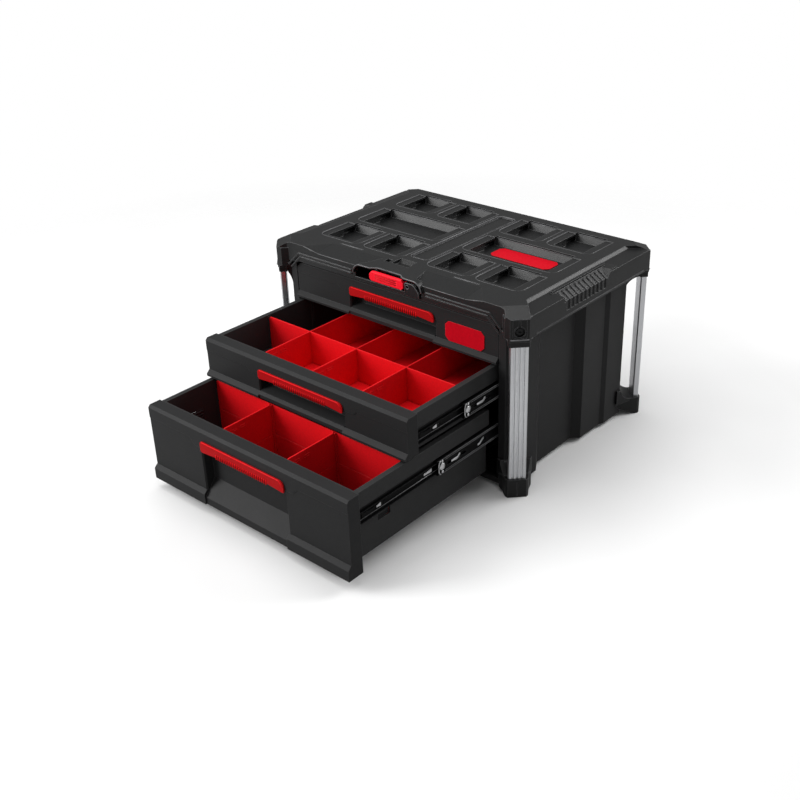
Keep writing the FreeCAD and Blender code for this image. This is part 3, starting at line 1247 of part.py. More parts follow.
def rail(height, sheet, web_x, lip, toward_drawer):
    """A channel rail of folded sheet on the right side, its lips towards the drawer or away from it."""
    sign = -1 if toward_drawer else 1
    x0, x1 = sorted((web_x, web_x + sign * lip))
    y0, y1 = SLIDE_START, SLIDE_START + SLIDE_LENGTH
    half = height / 2
    blank = box(x0, x1, y0, y1, -half, half)
    edge = x1 if toward_drawer else x0
    corners = [e for e in blank.Edges if e.Length > SLIDE_LENGTH - 1 and abs(e.BoundBox.XMin - edge) < 1e-6]
    blank = blank.makeChamfer(sheet, corners)
    inner, outer = (x0 - 1, x1 - sheet) if toward_drawer else (x0 + sheet, x1 + 1)
    return blank.cut(box(inner, outer, y0 - 1, y1 + 1, -half + sheet, half - sheet))


def outer_rail():
    shape = rail(OUTER_HEIGHT, OUTER_SHEET, SLIDE_FACE, OUTER_LIP, True)
    holes = [side_prism(ring(8, RAIL_HOLE_RADIUS, SLIDE_START + y, 0.0), SLIDE_FACE - 3, SLIDE_FACE + 3)
             for y in OUTER_HOLES]
    return cut_all(shape, holes)


def middle_web():
    return SLIDE_FACE - OUTER_SHEET - MIDDLE_WEB_GAP


def middle_rail():
    """The middle rail with the slots of its stop, its two grooves and the rivets at its front end."""
    web = middle_web()
    shape = rail(MIDDLE_HEIGHT, MIDDLE_SHEET, web, MIDDLE_LIP, True)
    tools = []
    for start, length in MIDDLE_SLOTS:
        y0 = SLIDE_START + start
        tools.append(box(web - 3, web + 1, y0, y0 + length, -MIDDLE_SLOT_HALF, MIDDLE_SLOT_HALF))
    place = MIDDLE_HEIGHT / 2 - MIDDLE_GROOVE_INSET
    y0, y1 = SLIDE_START - 1, SLIDE_START + SLIDE_LENGTH + 1
    for z in (-place, place):
        tools.append(box(web - MIDDLE_GROOVE, web + 1, y0, y1, z - 0.5, z + 0.5))
    head = web - MIDDLE_SHEET - RIVET_HEIGHT
    rivets = [side_prism(ring(8, RIVET_RADIUS, SLIDE_START + RIVET_PLACE, z), head, web - MIDDLE_SHEET / 2)
              for z in (-RIVET_PITCH, 0.0, RIVET_PITCH)]
    return fuse_all([cut_all(shape, tools)] + rivets)


def inner_rail():
    """The rail on the drawer, its lips towards the case, with mounting slots in its web."""
    shape = rail(INNER_HEIGHT, INNER_SHEET, TRAY_SIDE, INNER_LIP, False)
    slots = []
    for start, length in INNER_SLOTS:
        y0 = SLIDE_START + start
        slots.append(box(TRAY_SIDE - 1, TRAY_SIDE + 3, y0, y0 + length, -INNER_SLOT_HALF, INNER_SLOT_HALF))
    return cut_all(shape, slots)


def release_lever():
    """The lever inside the inner rail that lets the drawer be lifted off its slides."""
    y0, y1 = SLIDE_START + LEVER_START, SLIDE_START + LEVER_START + LEVER_LENGTH
    half = LEVER_HALF
    points = [(y0, -half), (y1 - half, -half), (y1, 0.0), (y1, half), (y1 - 2 * half, half / 2), (y0, half)]
    return side_prism(points, TRAY_SIDE + INNER_SHEET, TRAY_SIDE + INNER_SHEET + LEVER_THICK)


def ball(centre):
    """A ball with few flat faces: two crossed bars of eight sides."""
    eight = ring(8, BALL_RADIUS / math.cos(math.pi / 8), 0.0, 0.0)
    reach = 2 * BALL_RADIUS
    shape = side_prism(eight, -reach, reach).common(front_prism(eight, -reach, reach))
    shape.translate(centre)
    return shape


def cage_pair(x0, x1, inside, outside):
    """Upper and lower ball cage of one slide, with half of each ball's height in the gap."""
    middle = (inside + outside) / 2
    x = (x0 + x1) / 2
    length = (BALLS_PER_STRIP - 1) * BALL_PITCH + 2 * CAGE_END
    y0 = SLIDE_START + (SLIDE_LENGTH - length) / 2 + CAGE_BEHIND_MIDDLE
    half, thick = CAGE_WIDTH / 2, CAGE_THICK / 2
    pieces = []
    for z in (-middle, middle):
        strip = box(x - half, x + half, y0, y0 + length, z - thick, z + thick)
        balls = [ball(Vector(x, y0 + CAGE_END + i * BALL_PITCH, z)) for i in range(BALLS_PER_STRIP)]
        pieces.append(strip.fuse(balls).removeSplitter())
    return pieces


def outer_cages():
    """Cages between the outer and the middle rail."""
    web = middle_web()
    return cage_pair(web - MIDDLE_LIP, web - MIDDLE_SHEET, MIDDLE_HEIGHT / 2, OUTER_HEIGHT / 2 - OUTER_SHEET)


def inner_cages():
    """Cages between the middle and the inner rail."""
    tip = TRAY_SIDE + INNER_LIP
    return cage_pair(middle_web() - MIDDLE_LIP, tip, INNER_HEIGHT / 2, MIDDLE_HEIGHT / 2 - MIDDLE_SHEET)


def at_height(shapes, z, opened):
    """Both sides of the box, at one slide's height, moved forwards by how far it is open."""
    placed = []
    for shape in shapes:
        for copy in both_sides(shape):
            copy.translate(Vector(0, -opened, z))
            placed.append(copy)
    return placed


def latch_lever():
    """The coloured latch bar with two arms that turn on the pin."""
    front, back = FASCIA - LATCH_REACH, FASCIA - LATCH_REACH + LATCH_THICK
    bevel, cut = LATCH_BEVEL, LATCH_CORNER
    profile = [(back, LATCH_BOTTOM), (front + bevel, LATCH_BOTTOM), (front, LATCH_BOTTOM + bevel),
               (front, LATCH_TOP - bevel), (front + bevel, LATCH_TOP), (back, LATCH_TOP)]
    bar = side_prism(profile, -LATCH_HALF, LATCH_HALF)
    tools = []
    for z, rise in ((LATCH_BOTTOM, cut), (LATCH_TOP, -cut)):
        corner = [(LATCH_HALF, z), (LATCH_HALF - cut, z), (LATCH_HALF, z + rise)]
        tools += both_sides(front_prism(corner, front - 1, back + 1))
    reach = LATCH_HALF - LATCH_GROOVE_END
    for rise in LATCH_GROOVES:
        z = LATCH_BOTTOM + rise
        tools.append(box(-reach, reach, front - 1, front + 0.8, z, z + 1.6))
    bore = rod((-LATCH_HALF - 1, PIN_Y, PIN_HEIGHT), (1, 0, 0), PIN_RADIUS + PIN_FIT, 2 * LATCH_HALF + 2)
    return cut_all(fuse_all([cut_all(bar, tools)] + both_sides(latch_arm(back))), [bore])


def latch_arm(bar_back):
    """One arm of the latch: a link from the bar, a boss round the pin, and a tail under the tongue."""
    x0, x1 = LATCH_HALF - LATCH_ARM, LATCH_HALF
    tail_end = PIN_Y + TONGUE_BEHIND_PIN + TONGUE_THICK
    low = PIN_HEIGHT - TAIL_DROP
    boss = rod((x0, PIN_Y, PIN_HEIGHT), (1, 0, 0), BOSS_RADIUS, LATCH_ARM)
    link = box(x0, x1, bar_back - 1, PIN_Y, PIN_HEIGHT - LINK_HALF, PIN_HEIGHT + LINK_HALF)
    high = low + TAIL_THICK
    tail = side_prism([(PIN_Y, PIN_HEIGHT - LINK_HALF), (tail_end, low), (tail_end, high),
                       (tail_end - TONGUE_THICK - FIT, high), (PIN_Y, PIN_HEIGHT + LINK_HALF)], x0, x1)
    return boss.fuse([link, tail])


def lock_tongue():
    """The steel tongue on the latch's tails, with two teeth that rise into the deck."""
    y = PIN_Y + TONGUE_BEHIND_PIN
    z0 = PIN_HEIGHT - TAIL_DROP + TAIL_THICK
    plate = box(-LATCH_HALF, LATCH_HALF, y, y + TONGUE_THICK, z0, z0 + TONGUE_PLATE)
    top = DECK_TOP - TOOTH_DROP
    teeth = [box(x - TOOTH_HALF, x + TOOTH_HALF, y, y + TONGUE_THICK - 1, z0, top) for x in TOOTH_PLACES]
    return fuse_all([plate] + teeth)


def latch_pin():
    half = LATCH_HALF + PIN_END
    return rod((-half, PIN_Y, PIN_HEIGHT), (1, 0, 0), PIN_RADIUS, 2 * half)


def latch_spring():
    """Return spring of flat wire wound round the pin, with a leg that pushes the tongue up."""
    half = SPRING_WIRE / 2
    length = SPRING_PITCH * SPRING_TURNS
    steps = SPRING_TURNS * SPRING_SIDES
    low, high = SPRING_RADIUS - half, SPRING_RADIUS + half
    sections = []
    for i in range(steps + 1):
        x = length * (i / steps - 0.5)
        corners = [(x - half, low), (x + half, low), (x + half, high), (x - half, high), (x - half, low)]
        section = Part.makePolygon([Vector(a, 0, b) for a, b in corners])
        section.rotate(Vector(0, 0, 0), Vector(1, 0, 0), 180 + 360.0 * i / SPRING_SIDES)
        sections.append(section)
    coil = Part.makeLoft(sections, True, True)
    coil.translate(Vector(0, PIN_Y, PIN_HEIGHT))
    under = PIN_HEIGHT - TAIL_DROP + TAIL_THICK - half - 0.1
    reach = PIN_Y + TONGUE_BEHIND_PIN + TONGUE_THICK / 2
    start = PIN_HEIGHT - SPRING_RADIUS
    profile = [(PIN_Y, start - half), (reach, under - half), (reach, under + half), (PIN_Y, start + half)]
    leg = side_prism(profile, length / 2 - half, length / 2 + half)
    return coil.fuse(leg).removeSplitter()


def padlock_eye():
    """A steel eye beside the latch, fixed to the fascia under the latch's hole."""
    y0, y1 = FASCIA - EYE_PLATE_THICK, FASCIA
    bottom, top = SCOOP_BOTTOM - EYE_PLATE_FOOT, SCOOP_TOP - EYE_PLATE_FOOT
    outer = SCOOP_HALF - HOOD_THICK
    points = [(EYE_PLATE_INNER, bottom), (outer, bottom), (outer, top - EYE_PLATE_CORNER),
              (outer - EYE_PLATE_CORNER, top), (EYE_PLATE_INNER, top)]
    plate = front_prism(points, y0, y1)
    edges = [e for e in plate.Edges
             if e.BoundBox.ZMin > top - 1e-6 and e.BoundBox.XMax < EYE_PLATE_INNER + 1e-6]
    plate = plate.makeFillet(EYE_PLATE_FILLET, edges)
    return plate.cut(rod((EYE_PLACE, y0 - 1, EYE_HEIGHT), (0, 1, 0), EYE_RADIUS, EYE_PLATE_THICK + 2))


def cut_corner_plate(width, height, corner):
    a, b = width / 2, height / 2
    right = [(a - corner, -b), (a, -b + corner), (a, b - corner), (a - corner, b)]
    return right + [(-x, z) for x, z in reversed(right)]


def front_plate():
    """The bare plate on the top drawer's front."""
    x0, x1 = POCKET_HALF + FRONT_PLATE_FROM_POCKET, FRONT_HALF - FRONT_PLATE_FROM_END
    centre_x, centre_z = (x0 + x1) / 2, TOP_FRONT_BASE + FRONT_PLATE_RISE
    outline = cut_corner_plate(x1 - x0, FRONT_PLATE_HEIGHT, PLATE_CORNER)
    seat = CASE_FRONT + STEP_DEPTH
    return front_prism([(centre_x + x, centre_z + z) for x, z in outline], seat - PLATE_THICK, seat)


def deck_plate():
    """The bare plate on the floor of the right wide recess."""
    centre_x, centre_y = sum(RECESS_COLUMNS) / 2, WIDE_RECESS_BACK - DECK_PLATE_PLACE
    outline = cut_corner_plate(DECK_PLATE_WIDTH, DECK_PLATE_DEPTH, PLATE_CORNER)
    points = [(centre_x + x, centre_y + y) for x, y in outline]
    return plan_prism(points, RECESS_FLOOR, RECESS_FLOOR + PLATE_THICK)


def write(name, shape, opened=0.0):
    shapes = shape if isinstance(shape, list) else [shape]
    placed = []
    for item in shapes:
        item = item.copy()
        item.translate(Vector(0, SHIFT_Y - opened, 0))
        placed.append(item)
    solids = [solid for item in placed for solid in item.Solids]
    whole = solids[0] if len(solids) == 1 else Part.makeCompound(solids)
    whole.exportStep("parts/" + name + ".step")
    print(name, len(solids), round(whole.Volume), whole.isValid())


def build_case():
    write("top_cover", cover())
    write("case_shell", case_shell())
    write("slide_panel_right", slide_panel(1))
    write("slide_panel_left", slide_panel(-1))
    for name in CORNERS:
        write("post_" + name, post(name))
        write("foot_" + name, foot(name))
    write("corner_screws", at_all_corners(corner_screw()))
    write("padlock_eye", padlock_eye())
    write("latch_pin", latch_pin())
    write("deck_plate", deck_plate())


def build_latch():
    write("latch_lever", latch_lever())
    write("lock_tongue", lock_tongue())
    write("latch_spring", latch_spring())


def build_drawer(name):
    _, _, opened = drawer_values(name)
    height = runner_height(name)
    write("tray_" + name, tray(name), opened)
    write("drawer_front_" + name, drawer_front(name), opened)
    write("pull_strip_" + name, pull_strip(name), opened)
    if name != "top":
        write("long_divider_" + name, long_divider(name), opened)
    for number in range(len(cross_places(name)[0])):
        write("cross_divider_%s_%d" % (name, number + 1), cross_divider(name, number), opened)
    if name == "top":
        write("front_plate", front_plate(), opened)
    write("outer_rails_" + name, at_height([outer_rail()], height, 0.0))
    write("outer_ball_cages_" + name, at_height(outer_cages(), height, opened * 0.25))
    write("middle_rails_" + name, at_height([middle_rail()], height, opened * 0.5))
    write("inner_ball_cages_" + name, at_height(inner_cages(), height, opened * 0.75))
    write("inner_rails_" + name, at_height([inner_rail()], height, opened))
    write("release_levers_" + name, at_height([release_lever()], height, opened))


os.makedirs("parts", exist_ok=True)
build_case()
build_latch()
for drawer in ("top", "middle", "bottom"):
    build_drawer(drawer)
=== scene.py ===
import math

import bmesh
import bpy
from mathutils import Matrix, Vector


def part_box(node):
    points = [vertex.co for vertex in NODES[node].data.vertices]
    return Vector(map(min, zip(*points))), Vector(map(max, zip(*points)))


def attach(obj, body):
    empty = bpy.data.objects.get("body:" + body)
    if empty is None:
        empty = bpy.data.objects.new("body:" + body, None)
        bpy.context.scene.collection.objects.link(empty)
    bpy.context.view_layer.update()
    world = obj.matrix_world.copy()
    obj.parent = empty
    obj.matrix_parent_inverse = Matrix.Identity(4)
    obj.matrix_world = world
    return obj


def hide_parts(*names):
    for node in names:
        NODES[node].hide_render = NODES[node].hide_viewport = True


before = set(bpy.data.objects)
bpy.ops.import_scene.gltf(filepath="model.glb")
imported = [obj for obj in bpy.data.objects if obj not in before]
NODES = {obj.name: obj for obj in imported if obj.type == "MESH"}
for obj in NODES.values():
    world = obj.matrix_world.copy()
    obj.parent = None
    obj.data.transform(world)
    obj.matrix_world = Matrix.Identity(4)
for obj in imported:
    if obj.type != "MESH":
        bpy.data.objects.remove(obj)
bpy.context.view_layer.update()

MM = 0.001


# Shader maths

class Value:
    """One output of a shader node. Plain arithmetic on it adds Math nodes."""

    def __init__(self, finish, socket):
        self.finish = finish
        self.socket = socket

    def combine(self, operation, first, second):
        return self.finish.node("ShaderNodeMath", {"operation": operation}, {0: first, 1: second})

    def __add__(self, other):
        return self.combine("ADD", self, other)

    def __radd__(self, other):
        return self.combine("ADD", other, self)

    def __sub__(self, other):
        return self.combine("SUBTRACT", self, other)

    def __rsub__(self, other):
        return self.combine("SUBTRACT", other, self)

    def __mul__(self, other):
        return self.combine("MULTIPLY", self, other)

    def __rmul__(self, other):
        return self.combine("MULTIPLY", other, self)

    def clamped(self):
        return self.finish.node("ShaderNodeClamp", {}, {"Value": self})


EDGE_SHARPNESS = 16.0   # how fast the mask of the edges rises over a turn of the normals


class Finish:
    """A material that is built up node by node."""

    def __init__(self, name):
        self.material = bpy.data.materials.new(name)
        self.material.use_nodes = True
        self.tree = self.material.node_tree
        self.tree.nodes.clear()

    def node(self, kind, settings, inputs, output=0):
        """Adds a node with its settings and the values or links of its sockets."""
        made = self.tree.nodes.new(kind)
        for key, setting in settings.items():
            setattr(made, key, setting)
        for key, given in inputs.items():
            if isinstance(given, Value):
                self.tree.links.new(given.socket, made.inputs[key])
            else:
                made.inputs[key].default_value = given
        return Value(self, made.outputs[output])

    def place(self, stretch=(1.0, 1.0, 1.0)):
        """Where a point is on the piece, in metres, drawn out along an axis by stretch."""
        coordinates = self.node("ShaderNodeTexCoord", {}, {}, "Object")
        return self.node("ShaderNodeMapping", {}, {"Vector": coordinates, "Scale": stretch})

    def noise(self, size, detail=2.0, stretch=(1.0, 1.0, 1.0)):
        """Soft noise whose spots are about size metres across."""
        return self.node("ShaderNodeTexNoise", {},
                         {"Vector": self.place(stretch), "Scale": 1.0 / size, "Detail": detail})

    def mix(self, factor, first, second):
        return self.node("ShaderNodeMix", {"data_type": "RGBA"}, {0: factor, 6: first, 7: second}, 2)

    def soft_edges(self, radius):
        """Normals that round off the sharp edges, and a mask of those edges."""
        rounded = self.node("ShaderNodeBevel", {"samples": 6}, {"Radius": radius})
        plain = self.node("ShaderNodeNewGeometry", {}, {}, "Normal")
        along = self.node("ShaderNodeVectorMath", {"operation": "DOT_PRODUCT"},
                          {0: rounded, 1: plain}, "Value")
        return rounded, ((1.0 - along) * EDGE_SHARPNESS).clamped()

    def bumped(self, height, depth, strength, normal):
        return self.node("ShaderNodeBump", {}, {"Height": height, "Distance": depth, "Strength": strength,
                                                "Normal": normal})

    def surface(self, inputs):
        """Ends the material in one shader and gives it back."""
        shader = self.node("ShaderNodeBsdfPrincipled", {}, inputs)
        self.node_output(shader)
        return self.material

    def node_output(self, shader):
        output = self.tree.nodes.new("ShaderNodeOutputMaterial")
        self.tree.links.new(shader.socket, output.inputs["Surface"])


def colour(red, green, blue):
    return (red, green, blue, 1.0)


def moulded_plastic(name, base, edge_highlight, roughness, grain=0.0012, depth=0.0001, gloss=0.05, edge=0.0006,
                    mottle=0.15):
    """Moulded plastic with a fine spark grain, faint speckles and a painted highlight of paler edges.

    grain is how far apart the spots of the grain are and depth how deep they go, edge is the width of
    the painted edge highlight, all in metres, and mottle how much darker the speckles get.
    """
    finish = Finish(name)
    rounded, edges = finish.soft_edges(edge)
    cloud = finish.noise(0.045, 3.0)
    fine = finish.noise(grain, 1.0)
    highlight_patches = finish.noise(0.004, 2.0, (1.0, 0.25, 1.0))
    # Painted highlight: the edges are painted paler, in patches.
    tone = finish.mix((edges * (0.55 + 0.6 * highlight_patches)).clamped(), base, edge_highlight)
    speckle = finish.noise(0.0032, 3.0)
    deep = colour(*[c * (1.0 - 2.0 * mottle) for c in base[:3]])
    shade = finish.mix((cloud * 0.4 + speckle * 0.9 - 0.3).clamped(), tone, deep)
    rough = (roughness - 0.05) + 0.06 * cloud + 0.06 * fine
    bump = finish.bumped(fine, depth, 0.35, rounded)
    return finish.surface({"Base Color": shade, "Roughness": rough, "Normal": bump,
                           "Specular IOR Level": gloss})


def extruded_metal(name):
    """Extruded aluminium, drawn out along its length."""
    finish = Finish(name)
    rounded, edges = finish.soft_edges(0.0005)
    streak = finish.noise(0.0012, 3.0, (1.0, 1.0, 0.001))
    cloud = finish.noise(0.03, 2.0)
    tone = finish.mix((0.25 + 0.5 * streak).clamped(), colour(0.70, 0.71, 0.73), colour(0.88, 0.89, 0.91))
    # Painted highlight: the edges of the aluminium are painted paler.
    bright = finish.mix((edges * 0.5).clamped(), tone, colour(0.92, 0.92, 0.93))
    rough = 0.20 + 0.12 * streak + 0.05 * cloud
    bump = finish.bumped(streak, 0.0002, 0.15, rounded)
    return finish.surface({"Base Color": bright, "Roughness": rough, "Normal": bump, "Metallic": 1.0})


def coated_steel(name, base, roughness, metallic, edge_grey=0.35, gloss=0.3):
    """Rolled sheet with a thin coat, its edges painted in patches towards a given grey: a painted highlight
    on the dark coats.
    """
    finish = Finish(name)
    rounded, edges = finish.soft_edges(0.0003)
    rolled = finish.noise(0.0015, 3.0, (1.0, 0.05, 1.0))
    edge_patches = finish.noise(0.006, 3.0)
    # Painted highlight: the edges are painted towards a grey, in patches.
    tone = finish.mix((edges * edge_patches * 0.9).clamped(), base, colour(edge_grey, edge_grey, edge_grey * 1.02))
    rough = (roughness - 0.06) + 0.12 * rolled
    bump = finish.bumped(rolled, 0.0001, 0.2, rounded)
    return finish.surface({"Base Color": tone, "Roughness": rough, "Normal": bump, "Metallic": metallic,
                           "Specular IOR Level": gloss})


COVER = moulded_plastic("cover_plastic", colour(0.009, 0.0093, 0.0096), colour(0.15, 0.15, 0.155),
                        0.38, 0.0009, 0.0003, 0.36, edge=0.0012, mottle=0.35)
# Painted highlight: the pale colour of the raised lines along edges and rims.
LINE = moulded_plastic("raised_highlight_line", colour(0.13, 0.13, 0.135), colour(0.20, 0.20, 0.205),
                       0.35, 0.0009, gloss=0.5)
CASE = moulded_plastic("case_plastic", colour(0.020, 0.020, 0.0205), colour(0.08, 0.08, 0.082),
                       0.42, 0.0009, 0.0002, 0.2, edge=0.0009)
DRAWER = moulded_plastic("drawer_plastic", colour(0.021, 0.021, 0.0215), colour(0.08, 0.08, 0.082),
                         0.5, 0.0008, 0.0002, 0.12, edge=0.0009)
TRAY = moulded_plastic("tray_plastic", colour(0.030, 0.030, 0.0305), colour(0.09, 0.09, 0.092),
                       0.5, 0.0008, 0.0002, 0.12, edge=0.0009)
# Painted shadow: the dark red of the lines between the pull ribs.
RIB_SHADOW_RED = moulded_plastic("rib_shadow_red", colour(0.13, 0.002, 0.003), colour(0.3, 0.01, 0.01),
                             0.6, gloss=0.0)
# Painted highlight: the paler red of the pull ribs and of the strip's top edge.
RIB_HIGHLIGHT_RED = moulded_plastic("rib_highlight_red", colour(0.86, 0.012, 0.016), colour(0.95, 0.04, 0.04), 0.45)
PULL_RED = moulded_plastic("pull_red", colour(0.44, 0.006, 0.008), colour(0.74, 0.03, 0.03), 0.5)
LATCH_RED = moulded_plastic("latch_red", colour(1.0, 0.012, 0.03), colour(1.0, 0.12, 0.12), 0.4, gloss=0.08)
GRIP_RED = moulded_plastic("grip_red", colour(0.62, 0.008, 0.014), colour(1.0, 0.10, 0.10), 0.4)
DIVIDER_RED = moulded_plastic("divider_red", colour(0.84, 0.009, 0.014), colour(0.95, 0.06, 0.06), 0.5)
PLATE_RED = moulded_plastic("plate_red", colour(0.58, 0.004, 0.014), colour(0.85, 0.1, 0.1),
                            0.4, 0.0015, 0.00005, 0.04)
POST_METAL = extruded_metal("post_metal")
RAIL_BLACK = coated_steel("rail_black", colour(0.003, 0.003, 0.0032), 0.4, 0.0, edge_grey=0.12, gloss=0.06)
# Painted highlight: the pale grey of the lines along the rails.
RAIL_HIGHLIGHT = coated_steel("rail_highlight_line", colour(0.24, 0.24, 0.245), 0.35, 0.3, edge_grey=0.5)
ZINC = coated_steel("zinc", colour(0.75, 0.75, 0.76), 0.3, 0.9)
SCREW_BLACK = coated_steel("screw_black", colour(0.02, 0.02, 0.021), 0.38, 0.5)

# The finish of each solid by the start of its name
FINISHES = (
    ("top_cover", COVER), ("foot_", COVER), ("case_shell", CASE), ("slide_panel", CASE),
    ("post_", POST_METAL), ("corner_screws", SCREW_BLACK), ("padlock_eye", SCREW_BLACK),
    ("latch_lever", LATCH_RED), ("latch_pin", ZINC), ("latch_spring", ZINC), ("lock_tongue", ZINC),
    ("deck_plate", PLATE_RED), ("front_plate", PLATE_RED), ("drawer_front", DRAWER), ("tray_", TRAY),
    ("pull_strip", PULL_RED), ("long_divider", DIVIDER_RED), ("cross_divider", DIVIDER_RED),
    ("outer_rails", RAIL_BLACK), ("middle_rails", RAIL_BLACK), ("inner_rails", RAIL_BLACK),
    ("release_levers", RAIL_BLACK), ("outer_ball", ZINC), ("inner_ball", ZINC),
)


def finish_nodes():
    """Gives each solid the finish of the first row that its name starts with."""
    for name, piece in NODES.items():
        for start, material in FINISHES:
            if name.startswith(start):
                piece.data.materials.clear()
                piece.data.materials.append(material)
                break


finish_nodes()


# Shapes. Points are given in millimetres from the middle of the case, at the height over the floor.

SHIFT_Y = 170.0              # from the middle of the case to the middle of the whole box at rest
DECK = 335.0
FASCIA = -196.0              # face of the fascia over the drawers
DRAWERS = {"top": (0.0, 254.5), "middle": (220.0, 182.0), "bottom": (350.0, 109.5)}   # open by, slide height
SLIDE_START = -162.0         # front end of the slides of a shut drawer
SLIDE_LENGTH = 305.0
MIDDLE_RAIL_FACE = 224.7
INNER_RAIL_FACE = 217.1
TRAY_SIDE = 212.9
MIDDLE_TRAY_FLOOR = 164.5
DIVIDER_HALF = 1.0
UP = (0.0, 0.0, 1.0)
FORWARD = (0.0, -1.0, 0.0)
TURNED = {
    "x": lambda along, a, b: (along, a, b),
    "y": lambda along, a, b: (a, along, b),
    "z": lambda along, a, b: (a, b, along),
}


def spot(place):
    """A point in millimetres from the middle of the case, in the frame's metres."""
    x, y, z = place
    return Vector((x, y + SHIFT_Y, z)) * MM


def extruded_end(mesh, face):
    """Extrudes a face in place and gives back the new one at the end."""
    made = bmesh.ops.extrude_face_region(mesh, geom=[face])["geom"]
    return next(part for part in made if isinstance(part, bmesh.types.BMFace))


def add_prism(mesh, axis, outline, low, high, edge):
    """A prism along an axis over an outline in the plane across it, its edges rounded."""
    turned = TURNED[axis]
    foot = mesh.faces.new([mesh.verts.new(spot(turned(low, a, b))) for a, b in outline])
    top = extruded_end(mesh, foot)
    bmesh.ops.translate(mesh, verts=top.verts, vec=Vector(turned(high - low, 0.0, 0.0)) * MM)
    faces = list({face for corner in top.verts for face in corner.link_faces} | {foot})
    bmesh.ops.recalc_face_normals(mesh, faces=faces)
    edges = list({e for face in faces for e in face.edges})
    bmesh.ops.bevel(mesh, geom=edges, offset=edge * MM, offset_type="OFFSET", segments=2,
                    profile=0.5, affect="EDGES", material=-1)


BEAD_SECTION = [(-0.5, 0.0), (-0.42, 0.55), (-0.2, 0.92), (0.0, 1.0), (0.2, 0.92), (0.42, 0.55), (0.5, 0.0)]
LONGEST_MITRE = 2.5


def mitred_sides(points, up, closed):
    """The way across a path at each of its points, longer where the path turns a corner."""
    ends = points[1:] + points[:1] if closed else points[1:]
    across = [(end - start).cross(up).normalized() for start, end in zip(points, ends)]
    sides = []
    for i in range(len(points)):
        near = [across[k] for k in (i - 1, i) if closed or 0 <= k < len(across)]
        side = (near[0] + near[-1]).normalized()
        sides.append(side * min(1.0 / side.dot(near[0]), LONGEST_MITRE))
    return sides


def add_bead(mesh, path, width, height, up, closed=False):
    """A raised line with a round back, its section extruded from point to point.

    The path runs along its foot, and up points off the surface. Of the walls across it, only those at
    the ends of an open line stay.
    """
    up = Vector(up).normalized()
    points = [Vector(place) for place in path]
    rings = [[spot(here + side * (a * width) + up * (b * height)) for a, b in BEAD_SECTION]
             for here, side in zip(points, mitred_sides(points, up, closed))]
    if closed:
        rings.append(rings[0])
    walls = [mesh.faces.new([mesh.verts.new(place) for place in rings[0]])]
    for ring in rings[1:]:
        walls.append(extruded_end(mesh, walls[-1]))
        for corner, place in zip(walls[-1].verts, ring):
            corner.co = place
    seam = list({corner for wall in (walls[0], walls[-1]) for corner in wall.verts})
    bmesh.ops.delete(mesh, geom=walls if closed else walls[1:-1], context="FACES_ONLY")
    if closed:
        bmesh.ops.remove_doubles(mesh, verts=seam, dist=0.001 * MM)


def add_dome(mesh, centre, radius, height, side, rings=5, around=20):
    """A rivet head with a small collar, spun about a line along X, on a surface that faces side."""
    x, y, z = centre
    profile = [(radius * 1.15, 0.0), (radius * 1.15, height * 0.18), (radius, height * 0.22)]
    for k in range(1, rings):
        turn = k * math.pi / 2 / rings
        profile.append((radius * math.cos(turn), height * (0.22 + 0.78 * math.sin(turn))))
    corners = [mesh.verts.new(spot((x + side * rise, y + reach, z))) for reach, rise in profile]
    edges = [mesh.edges.new(pair) for pair in zip(corners, corners[1:])]
    before = set(mesh.faces)
    bmesh.ops.spin(mesh, geom=corners + edges, cent=spot(centre), axis=(side, 0.0, 0.0), angle=2 * math.pi,
                   steps=around, use_merge=True)
    made = [face for face in mesh.faces if face not in before]
    rims = {e for face in made for e in face.edges if e.is_boundary}
    bmesh.ops.holes_fill(mesh, edges=list(rims), sides=around)


def rounded_path(points, radius, steps=6):
    """The points of an open path whose inner corners are rounded off."""
    places = [Vector(point) for point in points]
    made = [places[0]]
    for before, corner, after in zip(places, places[1:], places[2:]):
        start = corner + (before - corner).normalized() * radius
        end = corner + (after - corner).normalized() * radius
        for k in range(steps + 1):
            t = k / steps
            made.append(start * (1 - t) ** 2 + corner * (2 * t * (1 - t)) + end * t ** 2)
    return made + [places[-1]]


def rounded_rectangle(x0, x1, z0, z1, radii, steps=5):
    """Outline with one radius for each corner, from the lower left one round."""
    corners = [(x0, z0, 180), (x1, z0, 270), (x1, z1, 0), (x0, z1, 90)]
    outline = []
    for (x, z, start), radius in zip(corners, radii):
        cx = x + radius if x == x0 else x - radius
        cz = z + radius if z == z0 else z - radius
        for k in range(steps + 1):
            t = math.radians(start + 90 * k / steps)
            outline.append((cx + radius * math.cos(t), cz + radius * math.sin(t)))
    return outline


def finish_piece(name, mesh, material, body, smooth=False, replaced=()):
    """Makes an object of the mesh. It rides on a body and may stand in for some of the solids."""
    data = bpy.data.meshes.new(name)
    bmesh.ops.recalc_face_normals(mesh, faces=mesh.faces[:])
    mesh.to_mesh(data)
    mesh.free()
    for face in data.polygons:
        face.use_smooth = smooth
    data.materials.append(material)
    piece = bpy.data.objects.new(name, data)
    bpy.context.scene.collection.objects.link(piece)
    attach(piece, body)
    if replaced:
        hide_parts(*replaced)


# Raised lines of the cover, pale as a painted highlight

